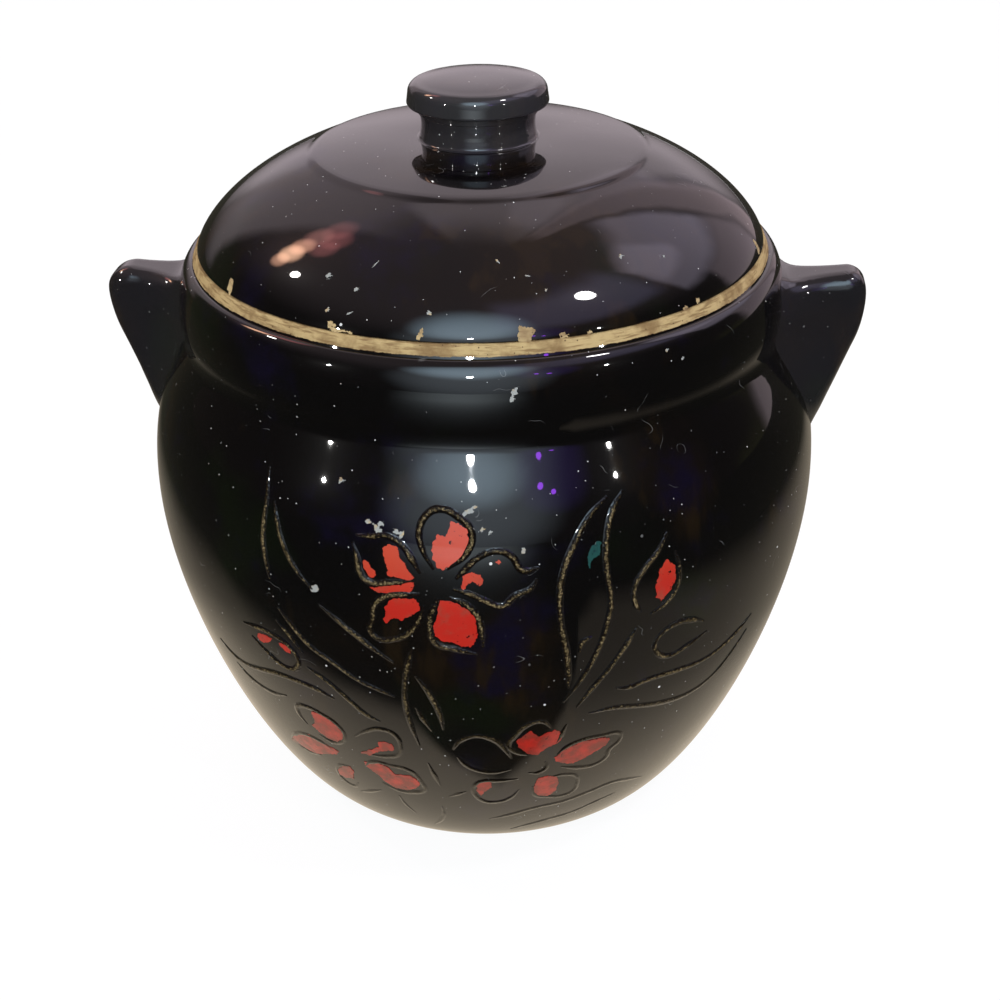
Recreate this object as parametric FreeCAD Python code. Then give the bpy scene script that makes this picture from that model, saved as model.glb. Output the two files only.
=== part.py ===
"""Round glazed pottery jar with a lift-off lid, two lug handles and flowers in trailed slip.

Millimetres. +Z is up, the handles lie along X and the flowers face -Y.
The origin is on the table, under the middle of the foot.
"""

import FreeCAD, Part
import math
import os

Vector = FreeCAD.Vector

# Outside of the jar: foot, belly and the crease under the collar
FOOT_RADIUS = 57.0
FOOT_FLARE_DEG = 14.8
FOOT_PULL = 17.6
BELLY_RADIUS = 100.0
BELLY_HEIGHT = 106.0
BELLY_PULL_DOWN = 39.4
BELLY_PULL_UP = 26.0
CREASE_RADIUS = 87.0
CREASE_HEIGHT = 152.0
SHOULDER_SLOPE_DEG = 67.5
SHOULDER_PULL = 13.4

# Collar and the bare clay edge of the rim
COLLAR_SWELL = 2.8
COLLAR_SWELL_HEIGHT = 5.0
COLLAR_ROUND = 4.6
COLLAR_HEIGHT = 20.8
RIM_RADIUS = 83.2
BARE_EDGE_HEIGHT = 3.4
BARE_EDGE_LEAN = 1.4
CREASE_FILLET = 4.0

# Inside of the jar
WALL = 7.0
FLOOR = 8.0
MOUTH_RADIUS = 75.0
MOUTH_DEPTH = 10.0
FOOT_RECESS_DEPTH = 2.5
FOOT_RING_WIDTH = 9.0
FOOT_RING_BEVEL = 2.0

# Lid
LID_SET_BACK = 0.4
LID_EDGE_HEIGHT = 1.3
DOME_HEIGHT = 24.4
DOME_PULL = 28.8
DOME_SLOPE_DEG = 21.5
DISC_RADIUS = 46.6
DISC_STEP_WIDTH = 2.9
DISC_STEP_HEIGHT = 1.4
DISC_CROWN = 2.5
LID_WALL = 6.5
FLANGE_PLAY = 1.5
FLANGE_WALL = 5.0
FLANGE_DEPTH = 9.0

# Knob
KNOB_RADIUS = 19.6
KNOB_LIP = 0.5
KNOB_THICKNESS = 7.0
KNOB_EDGE_ROUND = 2.6
KNOB_CROWN = 0.8
KNOB_NECK_RADIUS = 16.6
KNOB_WAIST_RADIUS = 16.2
KNOB_NECK_HEIGHT = 9.4
KNOB_SEAT_MARGIN = 1.0

# Lug handles, measured from the belly outwards and from the rim downwards. Their flanks sweep out
# to a broad root in the collar.
LUG_TOP_REACH = 9.3
LUG_REACH = 13.3
LUG_ROOT_DROP = 11.0
LUG_TOP_DROP = 7.6
LUG_CORNER_DROP = 18.5
LUG_HEIGHT = 64.0
LUG_TOP_ROUND = 5.0
LUG_CORNER_ROUND = 11.0
LUG_THICKNESS = 13.0
LUG_EDGE_FILLET = 4.8
LUG_KEY = 5.0
LUG_ROOT_KEY = 10.0
LUG_ROOT_WIDTH = 72.0
LUG_ROOT_WAIST = 46.0
LUG_SWEEP = 19.0
LUG_SWEEP_PULL = 12.0
LEFT_LUG_TURN_DEG = 3.5
LEFT_LUG_SET_BACK = 2.0
LEFT_LUG_DROP = 2.0

# Trailed slip lines of the ornament
SLIP_WIDTH = 3.2
SLIP_CREST = 1.2
SLIP_HEIGHT = 0.9
SLIP_KEY = 0.8
SLIP_BED_GAP = 0.05
SLIP_STEP = 4.0
SLIP_END_SHARE = 0.45

RIM_HEIGHT = CREASE_HEIGHT + COLLAR_HEIGHT + BARE_EDGE_HEIGHT
LID_RADIUS = RIM_RADIUS - BARE_EDGE_LEAN - LID_SET_BACK
DISC_HEIGHT = RIM_HEIGHT + DOME_HEIGHT + DISC_STEP_HEIGHT
CROWN_HEIGHT = DISC_HEIGHT + DISC_CROWN

# The ornament is drawn on a sheet rolled round the jar, from the table up to the crease, as
# (across, up). Across starts at the front middle and is positive towards +X.
SHEET_RADIUS = 100.0
SHEET_HEIGHT = 152.0
UPPER_FLOWER = [
    [(-4.1, 120.1), (-6.3, 123.9), (-9.1, 127.3), (-13, 129.1), (-18.1, 128.4), (-23.2, 128.2)],
    [(-22.7, 126.4), (-21.3, 122.6), (-20.3, 118.3), (-18, 116.3), (-12, 116.8), (-6.3, 117.9)],
    [(-0.6, 121.4), (-3.7, 127), (-4.5, 131), (-2.6, 135.2), (1, 136.7), (5.2, 135.3),
     (9.2, 131.2), (8, 126.2), (2.8, 121.6)],
    [(5, 119), (7.2, 121.4), (11, 124.9), (16, 126.4), (19.4, 125), (22.4, 121), (26.6, 121.4)],
    [(26, 118.4), (24.2, 115.8), (20.2, 114), (17, 111.2), (12, 113.1), (8.1, 115.1), (4.2, 116.3)],
    [(0.4, 113.4), (-1.2, 109.5), (-2, 103.5), (-0.8, 99.6), (4.5, 97.7), (10.2, 96.2)],
    [(11.8, 98.6), (11.4, 103.5), (10.3, 108.6), (7.4, 112), (3.2, 113.8)],
    [(-4.4, 114.3), (-9, 113.8), (-13.7, 112.5), (-16.7, 109.3), (-17.3, 105), (-18.3, 101.4),
     (-16.3, 99.1), (-12, 99.5), (-7.5, 102.3), (-4.9, 106.5), (-3.4, 111)],
]
LEFT_LOWER_FLOWER = [
    [(-48.6, 55.2), (-50.7, 59.2), (-49.8, 62.8), (-46, 64.2), (-40.5, 63.5), (-35.8, 61), (-34, 57),
     (-36.2, 52.7), (-40.5, 50.9), (-45, 52.2)],
    [(-30, 57.6), (-25.5, 61.3), (-20, 63.8), (-16, 62.5), (-14.8, 57.5), (-16.4, 53.2), (-21, 51),
     (-27.6, 50.2)],
    [(-30.4, 43), (-27, 46.4), (-20, 46.8), (-13.5, 45.6), (-10.9, 41), (-10.4, 36.2), (-14.5, 34),
     (-20.5, 33.4), (-26, 36)],
    [(-38.2, 40), (-42.4, 38.4), (-45.3, 34.5), (-45.2, 30), (-41.5, 27.6), (-37.8, 30.8)],
    [(-41, 46), (-46, 48.4), (-52, 48.8), (-58.5, 45.8), (-64, 40.6)],
    [(-61.6, 38.9), (-56, 38.7), (-50, 40)],
]
RIGHT_LOWER_FLOWER = [
    [(24.4, 55.2), (21.2, 56.8), (18.4, 60.4), (20.2, 64.2), (23.4, 68.2), (27.8, 69.6), (31.2, 66.2)],
    [(34, 53.6), (36.6, 56.4), (41, 58.3), (48, 58.4), (54.2, 57.2), (54.8, 53.8), (51.9, 50.4),
     (51.5, 47), (48.4, 44.8), (42, 45.2), (36, 47.2)],
    [(32.6, 42.6), (37.5, 42.8), (42.2, 40.6), (43.3, 36.5), (42.8, 32.6), (39.5, 30.8),
     (33.5, 31.7), (28.4, 34), (27.2, 38.6)],
    [(21.8, 43.6), (16, 43.2), (9.4, 42.7), (7, 39.6), (7.5, 35.4), (10.2, 32), (14.5, 31.2),
     (19.5, 33.2), (22.6, 37.6)],
    [(1.6, 58.4), (4.4, 62.8), (9, 64.8), (13.8, 63.2), (17.2, 59), (19.6, 54)],
    [(2.8, 55), (5, 51.4), (9, 48.6), (14, 47.6), (19.6, 48.8)],
    [(25.2, 46.2), (28.6, 45.9), (31, 48.2), (30.4, 51)],
]
LEFT_BUD = [
    [(-62.8, 89.3), (-57, 90.2), (-51, 90.2), (-46, 88.6), (-43.1, 84.6), (-44.6, 80.4), (-48.5, 78.9),
     (-54, 81.2), (-60.4, 85.6)],
]
RIGHT_BUD = [
    [(62.9, 124.3), (59.6, 119.7), (55.6, 116), (52.6, 111.5), (53, 106), (54.6, 103)],
    [(65, 118.6), (66.3, 113), (65.6, 107.4), (62.4, 103.6), (57.6, 101.4)],
]
LEFT_LEAVES = [
    [(-51.7, 139.5), (-50.5, 131), (-50.7, 122), (-49.7, 115), (-48.7, 109.6)],
    [(-47.9, 131.8), (-46.2, 127), (-43.2, 120.2), (-39.2, 114.8), (-34.6, 110.4)],
    [(-32.8, 106.2), (-27.4, 102.5), (-20.4, 97.2), (-12.6, 91.4)],
    [(-46.8, 101), (-43.5, 97.4), (-38.5, 91.8), (-31, 87.3), (-24, 82.8), (-17.5, 80.3), (-13.6, 78.6)],
    [(-48.4, 96.4), (-44.4, 92.6), (-40.6, 87.4)],
    [(-40.4, 82.4), (-36.4, 80.4), (-32, 77.2), (-27.6, 72.8), (-23.4, 68.8), (-19.6, 67.2)],
]
LEFT_LONG_LEAF = [
    [(-83, 72.6), (-77, 70.2), (-70.5, 70), (-62, 72), (-54, 74.2), (-46, 74.8), (-38.6, 74.2),
     (-33.4, 72.4)],
    [(-76.6, 66.8), (-71.5, 64.2), (-66, 63.2), (-60, 63.4), (-53.4, 65.4)],
]
RIGHT_LEAVES = [
    [(46.5, 136.8), (41, 133), (36.2, 126.7), (32.9, 119.5), (31.8, 112), (32.2, 104), (33.8, 95),
     (34.8, 86), (34.9, 81.4)],
    [(51.2, 137.4), (47.4, 133), (45.2, 127), (44.6, 119), (45.8, 109), (44.9, 102), (42.8, 94),
     (39, 85), (33.8, 76.2)],
    [(40.8, 98.6), (38.3, 97.4), (37.4, 94)],
    [(53.6, 98.2), (51.4, 94), (47, 86.8), (42, 79.6), (38, 73.4)],
]
RIGHT_OVAL_LEAF = [
    [(76.8, 92), (72.4, 94.3), (67.5, 95.3), (62.4, 93.8), (60.1, 90.4), (61.6, 86.6), (66, 84.1),
     (72, 85.4), (79, 87.4)],
]
RIGHT_LONG_LEAF = [
    [(49.5, 77.7), (54, 76.7), (60, 77.5), (70, 76.8), (80, 76), (88, 77), (96, 80), (101, 82.6)],
    [(42, 69.9), (50.2, 69.7), (58, 67.6), (68, 64.9), (79, 63.6), (88, 65.4), (95, 70.6), (101, 77)],
]
STEMS = [
    [(-7.2, 97), (-8.7, 91), (-10.1, 84), (-10.7, 76), (-10.1, 68), (-8.6, 59)],
    [(-6.9, 51), (-5.5, 45), (-4.2, 39.6)],
    [(-6.9, 87.6), (-4.8, 84.2), (-2.6, 79), (-1, 73), (-0.5, 67)],
    [(-7.8, 75.4), (-6.2, 71), (-3.9, 66)],
    [(35.6, 66.8), (34.4, 62.6), (33, 59)],
    [(-1.9, 33.8), (1.2, 35.6), (4.4, 37.2)],
]
GROUND_LEAVES = [
    [(12, 20), (20, 22.6), (30, 25.8), (40, 26.8), (50, 29.2), (59, 30.6), (67, 28.4), (75, 25.4)],
    [(21, 10.6), (28, 13.2), (36, 15.4), (46, 17.2), (56, 20.4), (64, 22)],
    [(-5.4, 27), (-5.7, 22), (-8, 17), (-11.6, 13)],
    [(-39.4, 25.2), (-33.6, 28), (-28.2, 30.8)],
    [(-21.2, 30), (-20.2, 25), (-17.6, 20)],
]

ORNAMENT = {
    "upper_flower": UPPER_FLOWER,
    "left_lower_flower": LEFT_LOWER_FLOWER,
    "right_lower_flower": RIGHT_LOWER_FLOWER,
    "left_bud": LEFT_BUD,
    "right_bud": RIGHT_BUD,
    "left_leaves": LEFT_LEAVES,
    "left_long_leaf": LEFT_LONG_LEAF,
    "right_leaves": RIGHT_LEAVES,
    "right_oval_leaf": RIGHT_OVAL_LEAF,
    "right_long_leaf": RIGHT_LONG_LEAF,
    "stems": STEMS,
    "ground_leaves": GROUND_LEAVES,
}


def at(radius, height):
    """Point of a profile, in the XZ plane."""
    return Vector(radius, 0, height)


def line(start, end):
    return Part.LineSegment(start, end).toShape()


def bezier(*poles):
    curve = Part.BezierCurve()
    curve.setPoles(list(poles))
    return curve


def turned(edges):
    """Solid of revolution about Z of a closed profile."""
    face = Part.Face(Part.Wire(Part.__sortEdges__(edges)))
    return face.revolve(Vector(0, 0, 0), Vector(0, 0, 1), 360)


def reach(angle_deg, length):
    """Step of a given length, angle_deg above the horizontal, in the XZ plane."""
    angle = math.radians(angle_deg)
    return Vector(length * math.cos(angle), 0, length * math.sin(angle))


def side_curves(foot, belly, crease):
    """Lower and upper curve of the jar's side, which meet upright at the belly."""
    flare = reach(FOOT_FLARE_DEG, FOOT_PULL)
    shoulder = reach(-SHOULDER_SLOPE_DEG, SHOULDER_PULL)
    lower = bezier(foot, foot + flare, belly - Vector(0, 0, BELLY_PULL_DOWN), belly)
    upper = bezier(belly, belly + Vector(0, 0, BELLY_PULL_UP), crease + shoulder, crease)
    return lower, upper


def outer_side(margin):
    """Outer side of the jar, moved outwards by a margin."""
    return side_curves(
        at(FOOT_RADIUS + margin, 0),
        at(BELLY_RADIUS + margin, BELLY_HEIGHT),
        at(CREASE_RADIUS + margin, CREASE_HEIGHT),
    )


OUTER_LOWER, OUTER_UPPER = outer_side(0)
INNER_LOWER, INNER_UPPER = side_curves(
    at(FOOT_RADIUS - WALL, FLOOR),
    at(BELLY_RADIUS - WALL, BELLY_HEIGHT),
    at(CREASE_RADIUS - WALL, CREASE_HEIGHT),
)


def jar_core():
    """The jar's outside as one solid block, with the foot's recess but no hollow."""
    collar_top = at(RIM_RADIUS, CREASE_HEIGHT + COLLAR_HEIGHT)
    rim_edge = at(RIM_RADIUS - BARE_EDGE_LEAN, RIM_HEIGHT)
    ring_inner = FOOT_RADIUS - FOOT_RING_WIDTH
    crease = at(CREASE_RADIUS, CREASE_HEIGHT)
    swell = Vector(COLLAR_SWELL, 0, COLLAR_SWELL_HEIGHT)
    collar = bezier(crease, crease + swell, collar_top + Vector(COLLAR_ROUND, 0, 0), collar_top)
    edges = [
        line(at(0, FOOT_RECESS_DEPTH), at(ring_inner - FOOT_RING_BEVEL, FOOT_RECESS_DEPTH)),
        line(at(ring_inner - FOOT_RING_BEVEL, FOOT_RECESS_DEPTH), at(ring_inner, 0)),
        line(at(ring_inner, 0), at(FOOT_RADIUS, 0)),
        OUTER_LOWER.toShape(),
        OUTER_UPPER.toShape(),
        collar.toShape(),
        line(collar_top, rim_edge),
        line(rim_edge, at(0, RIM_HEIGHT)),
        line(at(0, RIM_HEIGHT), at(0, FOOT_RECESS_DEPTH)),
    ]
    core = turned(edges)
    return core.makeFillet(CREASE_FILLET, [e for e in core.Edges if is_ring(e, CREASE_RADIUS, CREASE_HEIGHT)])


def is_ring(edge, radius, height):
    """True for the circular edge of a turned solid at this radius and height."""
    circle = edge.Curve
    if not isinstance(circle, Part.Circle):
        return False
    return abs(circle.Radius - radius) < 0.01 and abs(circle.Center.z - height) < 0.01


def jar_hollow():
    """The space inside the jar, from the floor to the mouth."""
    throat = at(MOUTH_RADIUS, RIM_HEIGHT - MOUTH_DEPTH)
    edges = [
        line(at(0, FLOOR), at(FOOT_RADIUS - WALL, FLOOR)),
        INNER_LOWER.toShape(),
        INNER_UPPER.toShape(),
        line(at(CREASE_RADIUS - WALL, CREASE_HEIGHT), throat),
        line(throat, at(MOUTH_RADIUS, RIM_HEIGHT)),
        line(at(MOUTH_RADIUS, RIM_HEIGHT), at(0, RIM_HEIGHT)),
        line(at(0, RIM_HEIGHT), at(0, FLOOR)),
    ]
    return turned(edges)


def lid():
    """Domed lid with a raised disc, a flat seat for the knob and a flange that drops into the mouth."""
    flange = MOUTH_RADIUS - FLANGE_PLAY
    bore = flange - FLANGE_WALL
    edge_top = at(LID_RADIUS, RIM_HEIGHT + LID_EDGE_HEIGHT)
    step_foot = at(DISC_RADIUS + DISC_STEP_WIDTH, RIM_HEIGHT + DOME_HEIGHT)
    step_top = at(DISC_RADIUS, DISC_HEIGHT)
    dome = bezier(
        at(LID_RADIUS, RIM_HEIGHT), edge_top, step_foot + reach(-DOME_SLOPE_DEG, DOME_PULL), step_foot
    )
    step = bezier(
        step_foot,
        step_foot + reach(180 - DOME_SLOPE_DEG, DISC_STEP_WIDTH / 2),
        step_top + reach(-DOME_SLOPE_DEG, DISC_STEP_WIDTH / 2),
        step_top,
    )
    seat = at(KNOB_NECK_RADIUS + KNOB_SEAT_MARGIN, CROWN_HEIGHT)
    crown = bezier(step_top, at((DISC_RADIUS + seat.x) / 2, CROWN_HEIGHT), seat)
    ceiling = bezier(
        at(0, CROWN_HEIGHT - LID_WALL),
        at(DISC_RADIUS, CROWN_HEIGHT - LID_WALL),
        at(bore, RIM_HEIGHT + DOME_HEIGHT / 2),
        at(bore, RIM_HEIGHT),
    )
    edges = [
        dome.toShape(),
        step.toShape(),
        crown.toShape(),
        line(seat, at(0, CROWN_HEIGHT)),
        line(at(0, CROWN_HEIGHT), at(0, CROWN_HEIGHT - LID_WALL)),
        ceiling.toShape(),
        line(at(bore, RIM_HEIGHT), at(bore, RIM_HEIGHT - FLANGE_DEPTH)),
        line(at(bore, RIM_HEIGHT - FLANGE_DEPTH), at(flange, RIM_HEIGHT - FLANGE_DEPTH)),
        line(at(flange, RIM_HEIGHT - FLANGE_DEPTH), at(flange, RIM_HEIGHT)),
        line(at(flange, RIM_HEIGHT), at(LID_RADIUS, RIM_HEIGHT)),
    ]
    return turned(edges)


def knob():
    """Disc knob on a short waisted neck, standing on the lid's seat."""
    cap = CROWN_HEIGHT + KNOB_NECK_HEIGHT
    top = cap + KNOB_THICKNESS
    peak = top + KNOB_CROWN
    neck_foot = at(KNOB_NECK_RADIUS, CROWN_HEIGHT)
    neck_top = at(KNOB_NECK_RADIUS, cap)
    edge_low = at(KNOB_RADIUS, top - KNOB_EDGE_ROUND)
    edge_high = at(KNOB_RADIUS - KNOB_EDGE_ROUND, top)
    pull = at(2 * KNOB_WAIST_RADIUS - KNOB_NECK_RADIUS, (CROWN_HEIGHT + cap) / 2)
    edges = [
        bezier(neck_foot, pull, neck_top).toShape(),
        line(neck_top, at(KNOB_RADIUS + KNOB_LIP, cap)),
        line(at(KNOB_RADIUS + KNOB_LIP, cap), edge_low),
        bezier(edge_low, at(KNOB_RADIUS, top), edge_high).toShape(),
        bezier(edge_high, at(edge_high.x / 2, peak), at(0, peak)).toShape(),
        line(at(0, peak), at(0, CROWN_HEIGHT)),
        line(at(0, CROWN_HEIGHT), neck_foot),
    ]
    return turned(edges)


def lug():
    """Ear of the +X side, with its root still inside the jar: nearly flat on top, slanting back below."""
    top_corner = at(BELLY_RADIUS + LUG_TOP_REACH, RIM_HEIGHT - LUG_TOP_DROP)
    side_corner = at(BELLY_RADIUS + LUG_REACH, RIM_HEIGHT - LUG_CORNER_DROP)
    root = CREASE_RADIUS - LUG_ROOT_KEY
    low = RIM_HEIGHT - LUG_HEIGHT
    toe = at(BELLY_RADIUS - LUG_KEY, low)
    outline = [at(root, RIM_HEIGHT - LUG_ROOT_DROP), top_corner, side_corner, toe, at(root, low)]
    sheet = Part.Face(Part.makePolygon(outline + outline[:1]))
    sheet.translate(Vector(0, -LUG_ROOT_WIDTH / 2, 0))
    slab = sheet.extrude(Vector(0, LUG_ROOT_WIDTH, 0))
    for corner, radius in ((top_corner, LUG_TOP_ROUND), (side_corner, LUG_CORNER_ROUND)):
        slab = slab.makeFillet(radius, [e for e in slab.Edges if stands_at(e, corner)])
    ear = slab.common(lug_flanks(low))
    rim = [e for e in ear.Edges if is_flank_rim(e, root, low)]
    return ear.makeFillet(LUG_EDGE_FILLET, rim)


def lug_flanks(low):
    """Upright block that narrows from the broad root of a lug to its thickness."""
    half = LUG_THICKNESS / 2
    start = Vector(CREASE_RADIUS - LUG_ROOT_KEY, LUG_ROOT_WIDTH / 2, low)
    waist = Vector(CREASE_RADIUS + LUG_SWEEP, half, low)
    tip = Vector(BELLY_RADIUS + LUG_REACH, half, low)
    near = Vector(CREASE_RADIUS, LUG_ROOT_WAIST / 2, low)
    sweep = bezier(start, near, waist - Vector(LUG_SWEEP_PULL, 0, 0), waist)
    side = [sweep.toShape(), line(waist, tip)]
    other = [edge.mirror(Vector(0, 0, 0), Vector(0, 1, 0)) for edge in side]
    ends = [line(point, Vector(point.x, -point.y, low)) for point in (start, tip)]
    plan = Part.Face(Part.Wire(Part.__sortEdges__(side + other + ends)))
    return plan.extrude(Vector(0, 0, LUG_HEIGHT))


def stands_at(edge, corner):
    """True for the edge along Y through this corner."""
    box = edge.BoundBox
    across = box.XLength < 0.01 and box.ZLength < 0.01
    return across and math.hypot(box.Center.x - corner.x, box.Center.z - corner.z) < 0.01


def is_flank_rim(edge, root, low):
    """True for an edge where a lug's flank meets its rim, outside the root and above the toe."""
    box = edge.BoundBox
    upright = box.XLength < 0.01 and box.YLength < 0.01
    crosses = box.YMin < 0 < box.YMax
    return not upright and not crosses and box.XMax > root + 0.01 and box.ZMax > low + 0.01


def side_at(height):
    """Radius of the jar's side at a height, and the outward normal as (radial, upward)."""
    curve = OUTER_LOWER if height < BELLY_HEIGHT else OUTER_UPPER
    low, high = 0.0, 1.0
    for _ in range(40):
        middle = (low + high) / 2
        if curve.value(middle).z < height:
            low = middle
        else:
            high = middle
    point = curve.value(low)
    slope = curve.tangent(low)[0]
    return point.x, slope.z, -slope.x


def on_side(across, up):
    """Point of the jar's skin and its outward normal under a point of the sheet."""
    angle = across / SHEET_RADIUS
    height = up * CREASE_HEIGHT / SHEET_HEIGHT
    radius, radial, upward = side_at(height)
    outward = Vector(math.sin(angle), -math.cos(angle), 0)
    point = outward * radius + Vector(0, 0, height)
    normal = outward * radial + Vector(0, 0, upward)
    return point, normal


def slip_bed():
    """Solid block a hair outside the jar's side, to cut the underside of the slip lines."""
    lower, upper = outer_side(SLIP_BED_GAP)
    crease = upper.EndPoint
    edges = [
        line(at(0, 0), lower.StartPoint),
        lower.toShape(),
        upper.toShape(),
        line(crease, at(0, crease.z)),
        line(at(0, crease.z), at(0, 0)),
    ]
    return turned(edges)


def slip_line(route, bed):
    """One trailed line: a low ridge that follows the route and sits on the jar's skin."""
    path = Part.BSplineCurve()
    path.interpolate([Vector(across, up, 0) for across, up in route])
    length = path.length()
    steps = max(3, round(length / SLIP_STEP))
    spots = [path.parameterAtDistance(length * i / steps, path.FirstParameter) for i in range(steps + 1)]
    sections = []
    for i, spot in enumerate(spots):
        here = path.value(spot)
        ahead = path.tangent(spot)[0]
        point, normal = on_side(here.x, here.y)
        onward = on_side(here.x + ahead.x, here.y + ahead.y)[0] - point
        sideways = onward.cross(normal).normalize()
        share = SLIP_END_SHARE if i in (0, steps) else 1.0
        half_base = sideways * (SLIP_WIDTH / 2 * share)
        half_crest = sideways * (SLIP_CREST / 2 * share)
        low = point - normal * SLIP_KEY
        high = point + normal * (SLIP_HEIGHT * share)
        corners = [low - half_base, low + half_base, high + half_crest, high - half_crest]
        sections.append(Part.makePolygon(corners + corners[:1]))
    ridge = Part.makeLoft(sections, True, True)
    if ridge.Volume < 0:
        ridge.reverse()
    return ridge.cut(bed)


def build():
    """Every piece of the jar by its name."""
    core = jar_core()
    bed = slip_bed()
    right = lug()
    left = right.mirror(Vector(0, 0, 0), Vector(1, 0, 0))
    left.translate(Vector(LEFT_LUG_SET_BACK, 0, -LEFT_LUG_DROP))
    left.rotate(Vector(0, 0, 0), Vector(0, 0, 1), LEFT_LUG_TURN_DEG)
    pieces = {
        "jar_body": core.cut(jar_hollow()),
        "right_handle": right.cut(core),
        "left_handle": left.cut(core),
        "lid": lid(),
        "lid_knob": knob(),
    }
    for name, routes in ORNAMENT.items():
        pieces[name] = Part.makeCompound([slip_line(route, bed) for route in routes])
    return pieces


def main():
    os.makedirs("parts", exist_ok=True)
    for name, shape in build().items():
        shape.exportStep(os.path.join("parts", name + ".step"))
        solids = len(shape.Solids)
        print(f"{name}: {solids} solid(s), {shape.Volume / 1000:.1f} cm3, valid {shape.isValid()}")


main()
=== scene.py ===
"""Glazed pottery cookie jar with a lift-off lid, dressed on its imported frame.

Metres in Blender. The sizes and outlines below are written in millimetres and scaled by MM.
"""

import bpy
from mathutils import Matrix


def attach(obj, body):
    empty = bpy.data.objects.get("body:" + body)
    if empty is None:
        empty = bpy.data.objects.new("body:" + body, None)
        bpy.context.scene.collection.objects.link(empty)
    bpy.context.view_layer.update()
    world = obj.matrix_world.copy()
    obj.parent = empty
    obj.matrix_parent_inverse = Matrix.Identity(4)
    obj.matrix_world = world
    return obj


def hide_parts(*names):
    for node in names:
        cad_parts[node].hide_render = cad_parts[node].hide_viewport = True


bl_info = {
    "name": "Cookie Jar",
    "version": (1, 0, 0),
    "blender": (4, 5, 0),
    "location": "View3D > Sidebar > Jar",
    "description": "Builds a dark glazed cookie jar with trailed slip flowers, and its studio",
    "category": "Add Mesh",
}

import math
from functools import partial

import bmesh
import bpy
import numpy as np
from bpy.props import FloatProperty, FloatVectorProperty, IntProperty, PointerProperty
from mathutils import Matrix, Vector, noise
from mathutils.geometry import interpolate_bezier

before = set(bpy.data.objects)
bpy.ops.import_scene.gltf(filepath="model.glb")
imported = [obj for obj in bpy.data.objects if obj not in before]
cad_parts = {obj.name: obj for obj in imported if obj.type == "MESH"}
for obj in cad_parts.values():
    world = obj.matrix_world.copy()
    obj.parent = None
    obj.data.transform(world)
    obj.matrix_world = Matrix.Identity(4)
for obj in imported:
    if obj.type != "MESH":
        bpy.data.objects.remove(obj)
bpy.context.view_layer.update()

MM = 0.001

# Edges that turn more than this stay crisp
CRISP = math.radians(42)

# The clear glaze, and the ground under it
GLAZE_IOR = 1.5
GROUND_ROUGHNESS = 0.3

# Tones of worn places: film of handling, brown run, thin glaze beside bare clay, grit; and of paint: rubbed
# paint darkened near the foot by painted shade, and paint lightened high up by a painted sheen
FILM = (0.30, 0.28, 0.31)
RUN_BROWN = (0.0105, 0.0060, 0.0022)
THIN_BROWN = (0.055, 0.028, 0.012)
GRIT_BROWN = (0.06, 0.035, 0.02)
# Painted shade: dark red that the paint turns to in rubbed-looking patches near the foot
SHADED_RUBBED_RED = (0.075, 0.020, 0.012)
# Painted sheen: lighter, more orange red that the paint turns to high up
SHEEN_RED = (0.48, 0.060, 0.026)

# Size of the lumps of each slow pattern, in millimetres
DRIFT = 60
CLOUD = 32
POOL = 46
RUN = 9
HAIR = 7
WORN_SPOT = 13
SPECK_FIELD = 26
STAIN = 9
STREAK = 7
WAVE = 34
PEEL = 6

# Heights of the glaze's waves, orange peel and specks, in millimetres
WAVE_HEIGHT = 0.30
PEEL_HEIGHT = 0.012
SPECK_HEIGHT = 0.05

# Specks as (spacing, size, share of the cells that hold one)
FINE_SPECKS = (2.2, 0.20, 0.6)
COARSE_SPECKS = (7.5, 0.44, 0.5)
GRIT = (1.1, 0.22, 0.45)

# How dull the film of handling makes the knob and the lugs
KNOB_FILM = 0.075
LUG_FILM = 0.030

# How far above the jar's bare edge, and above the lid's seam, the glaze ends, in millimetres
JAR_BARE_SHIFT = 0.6
LID_BARE_SHIFT = 0.1

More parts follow.
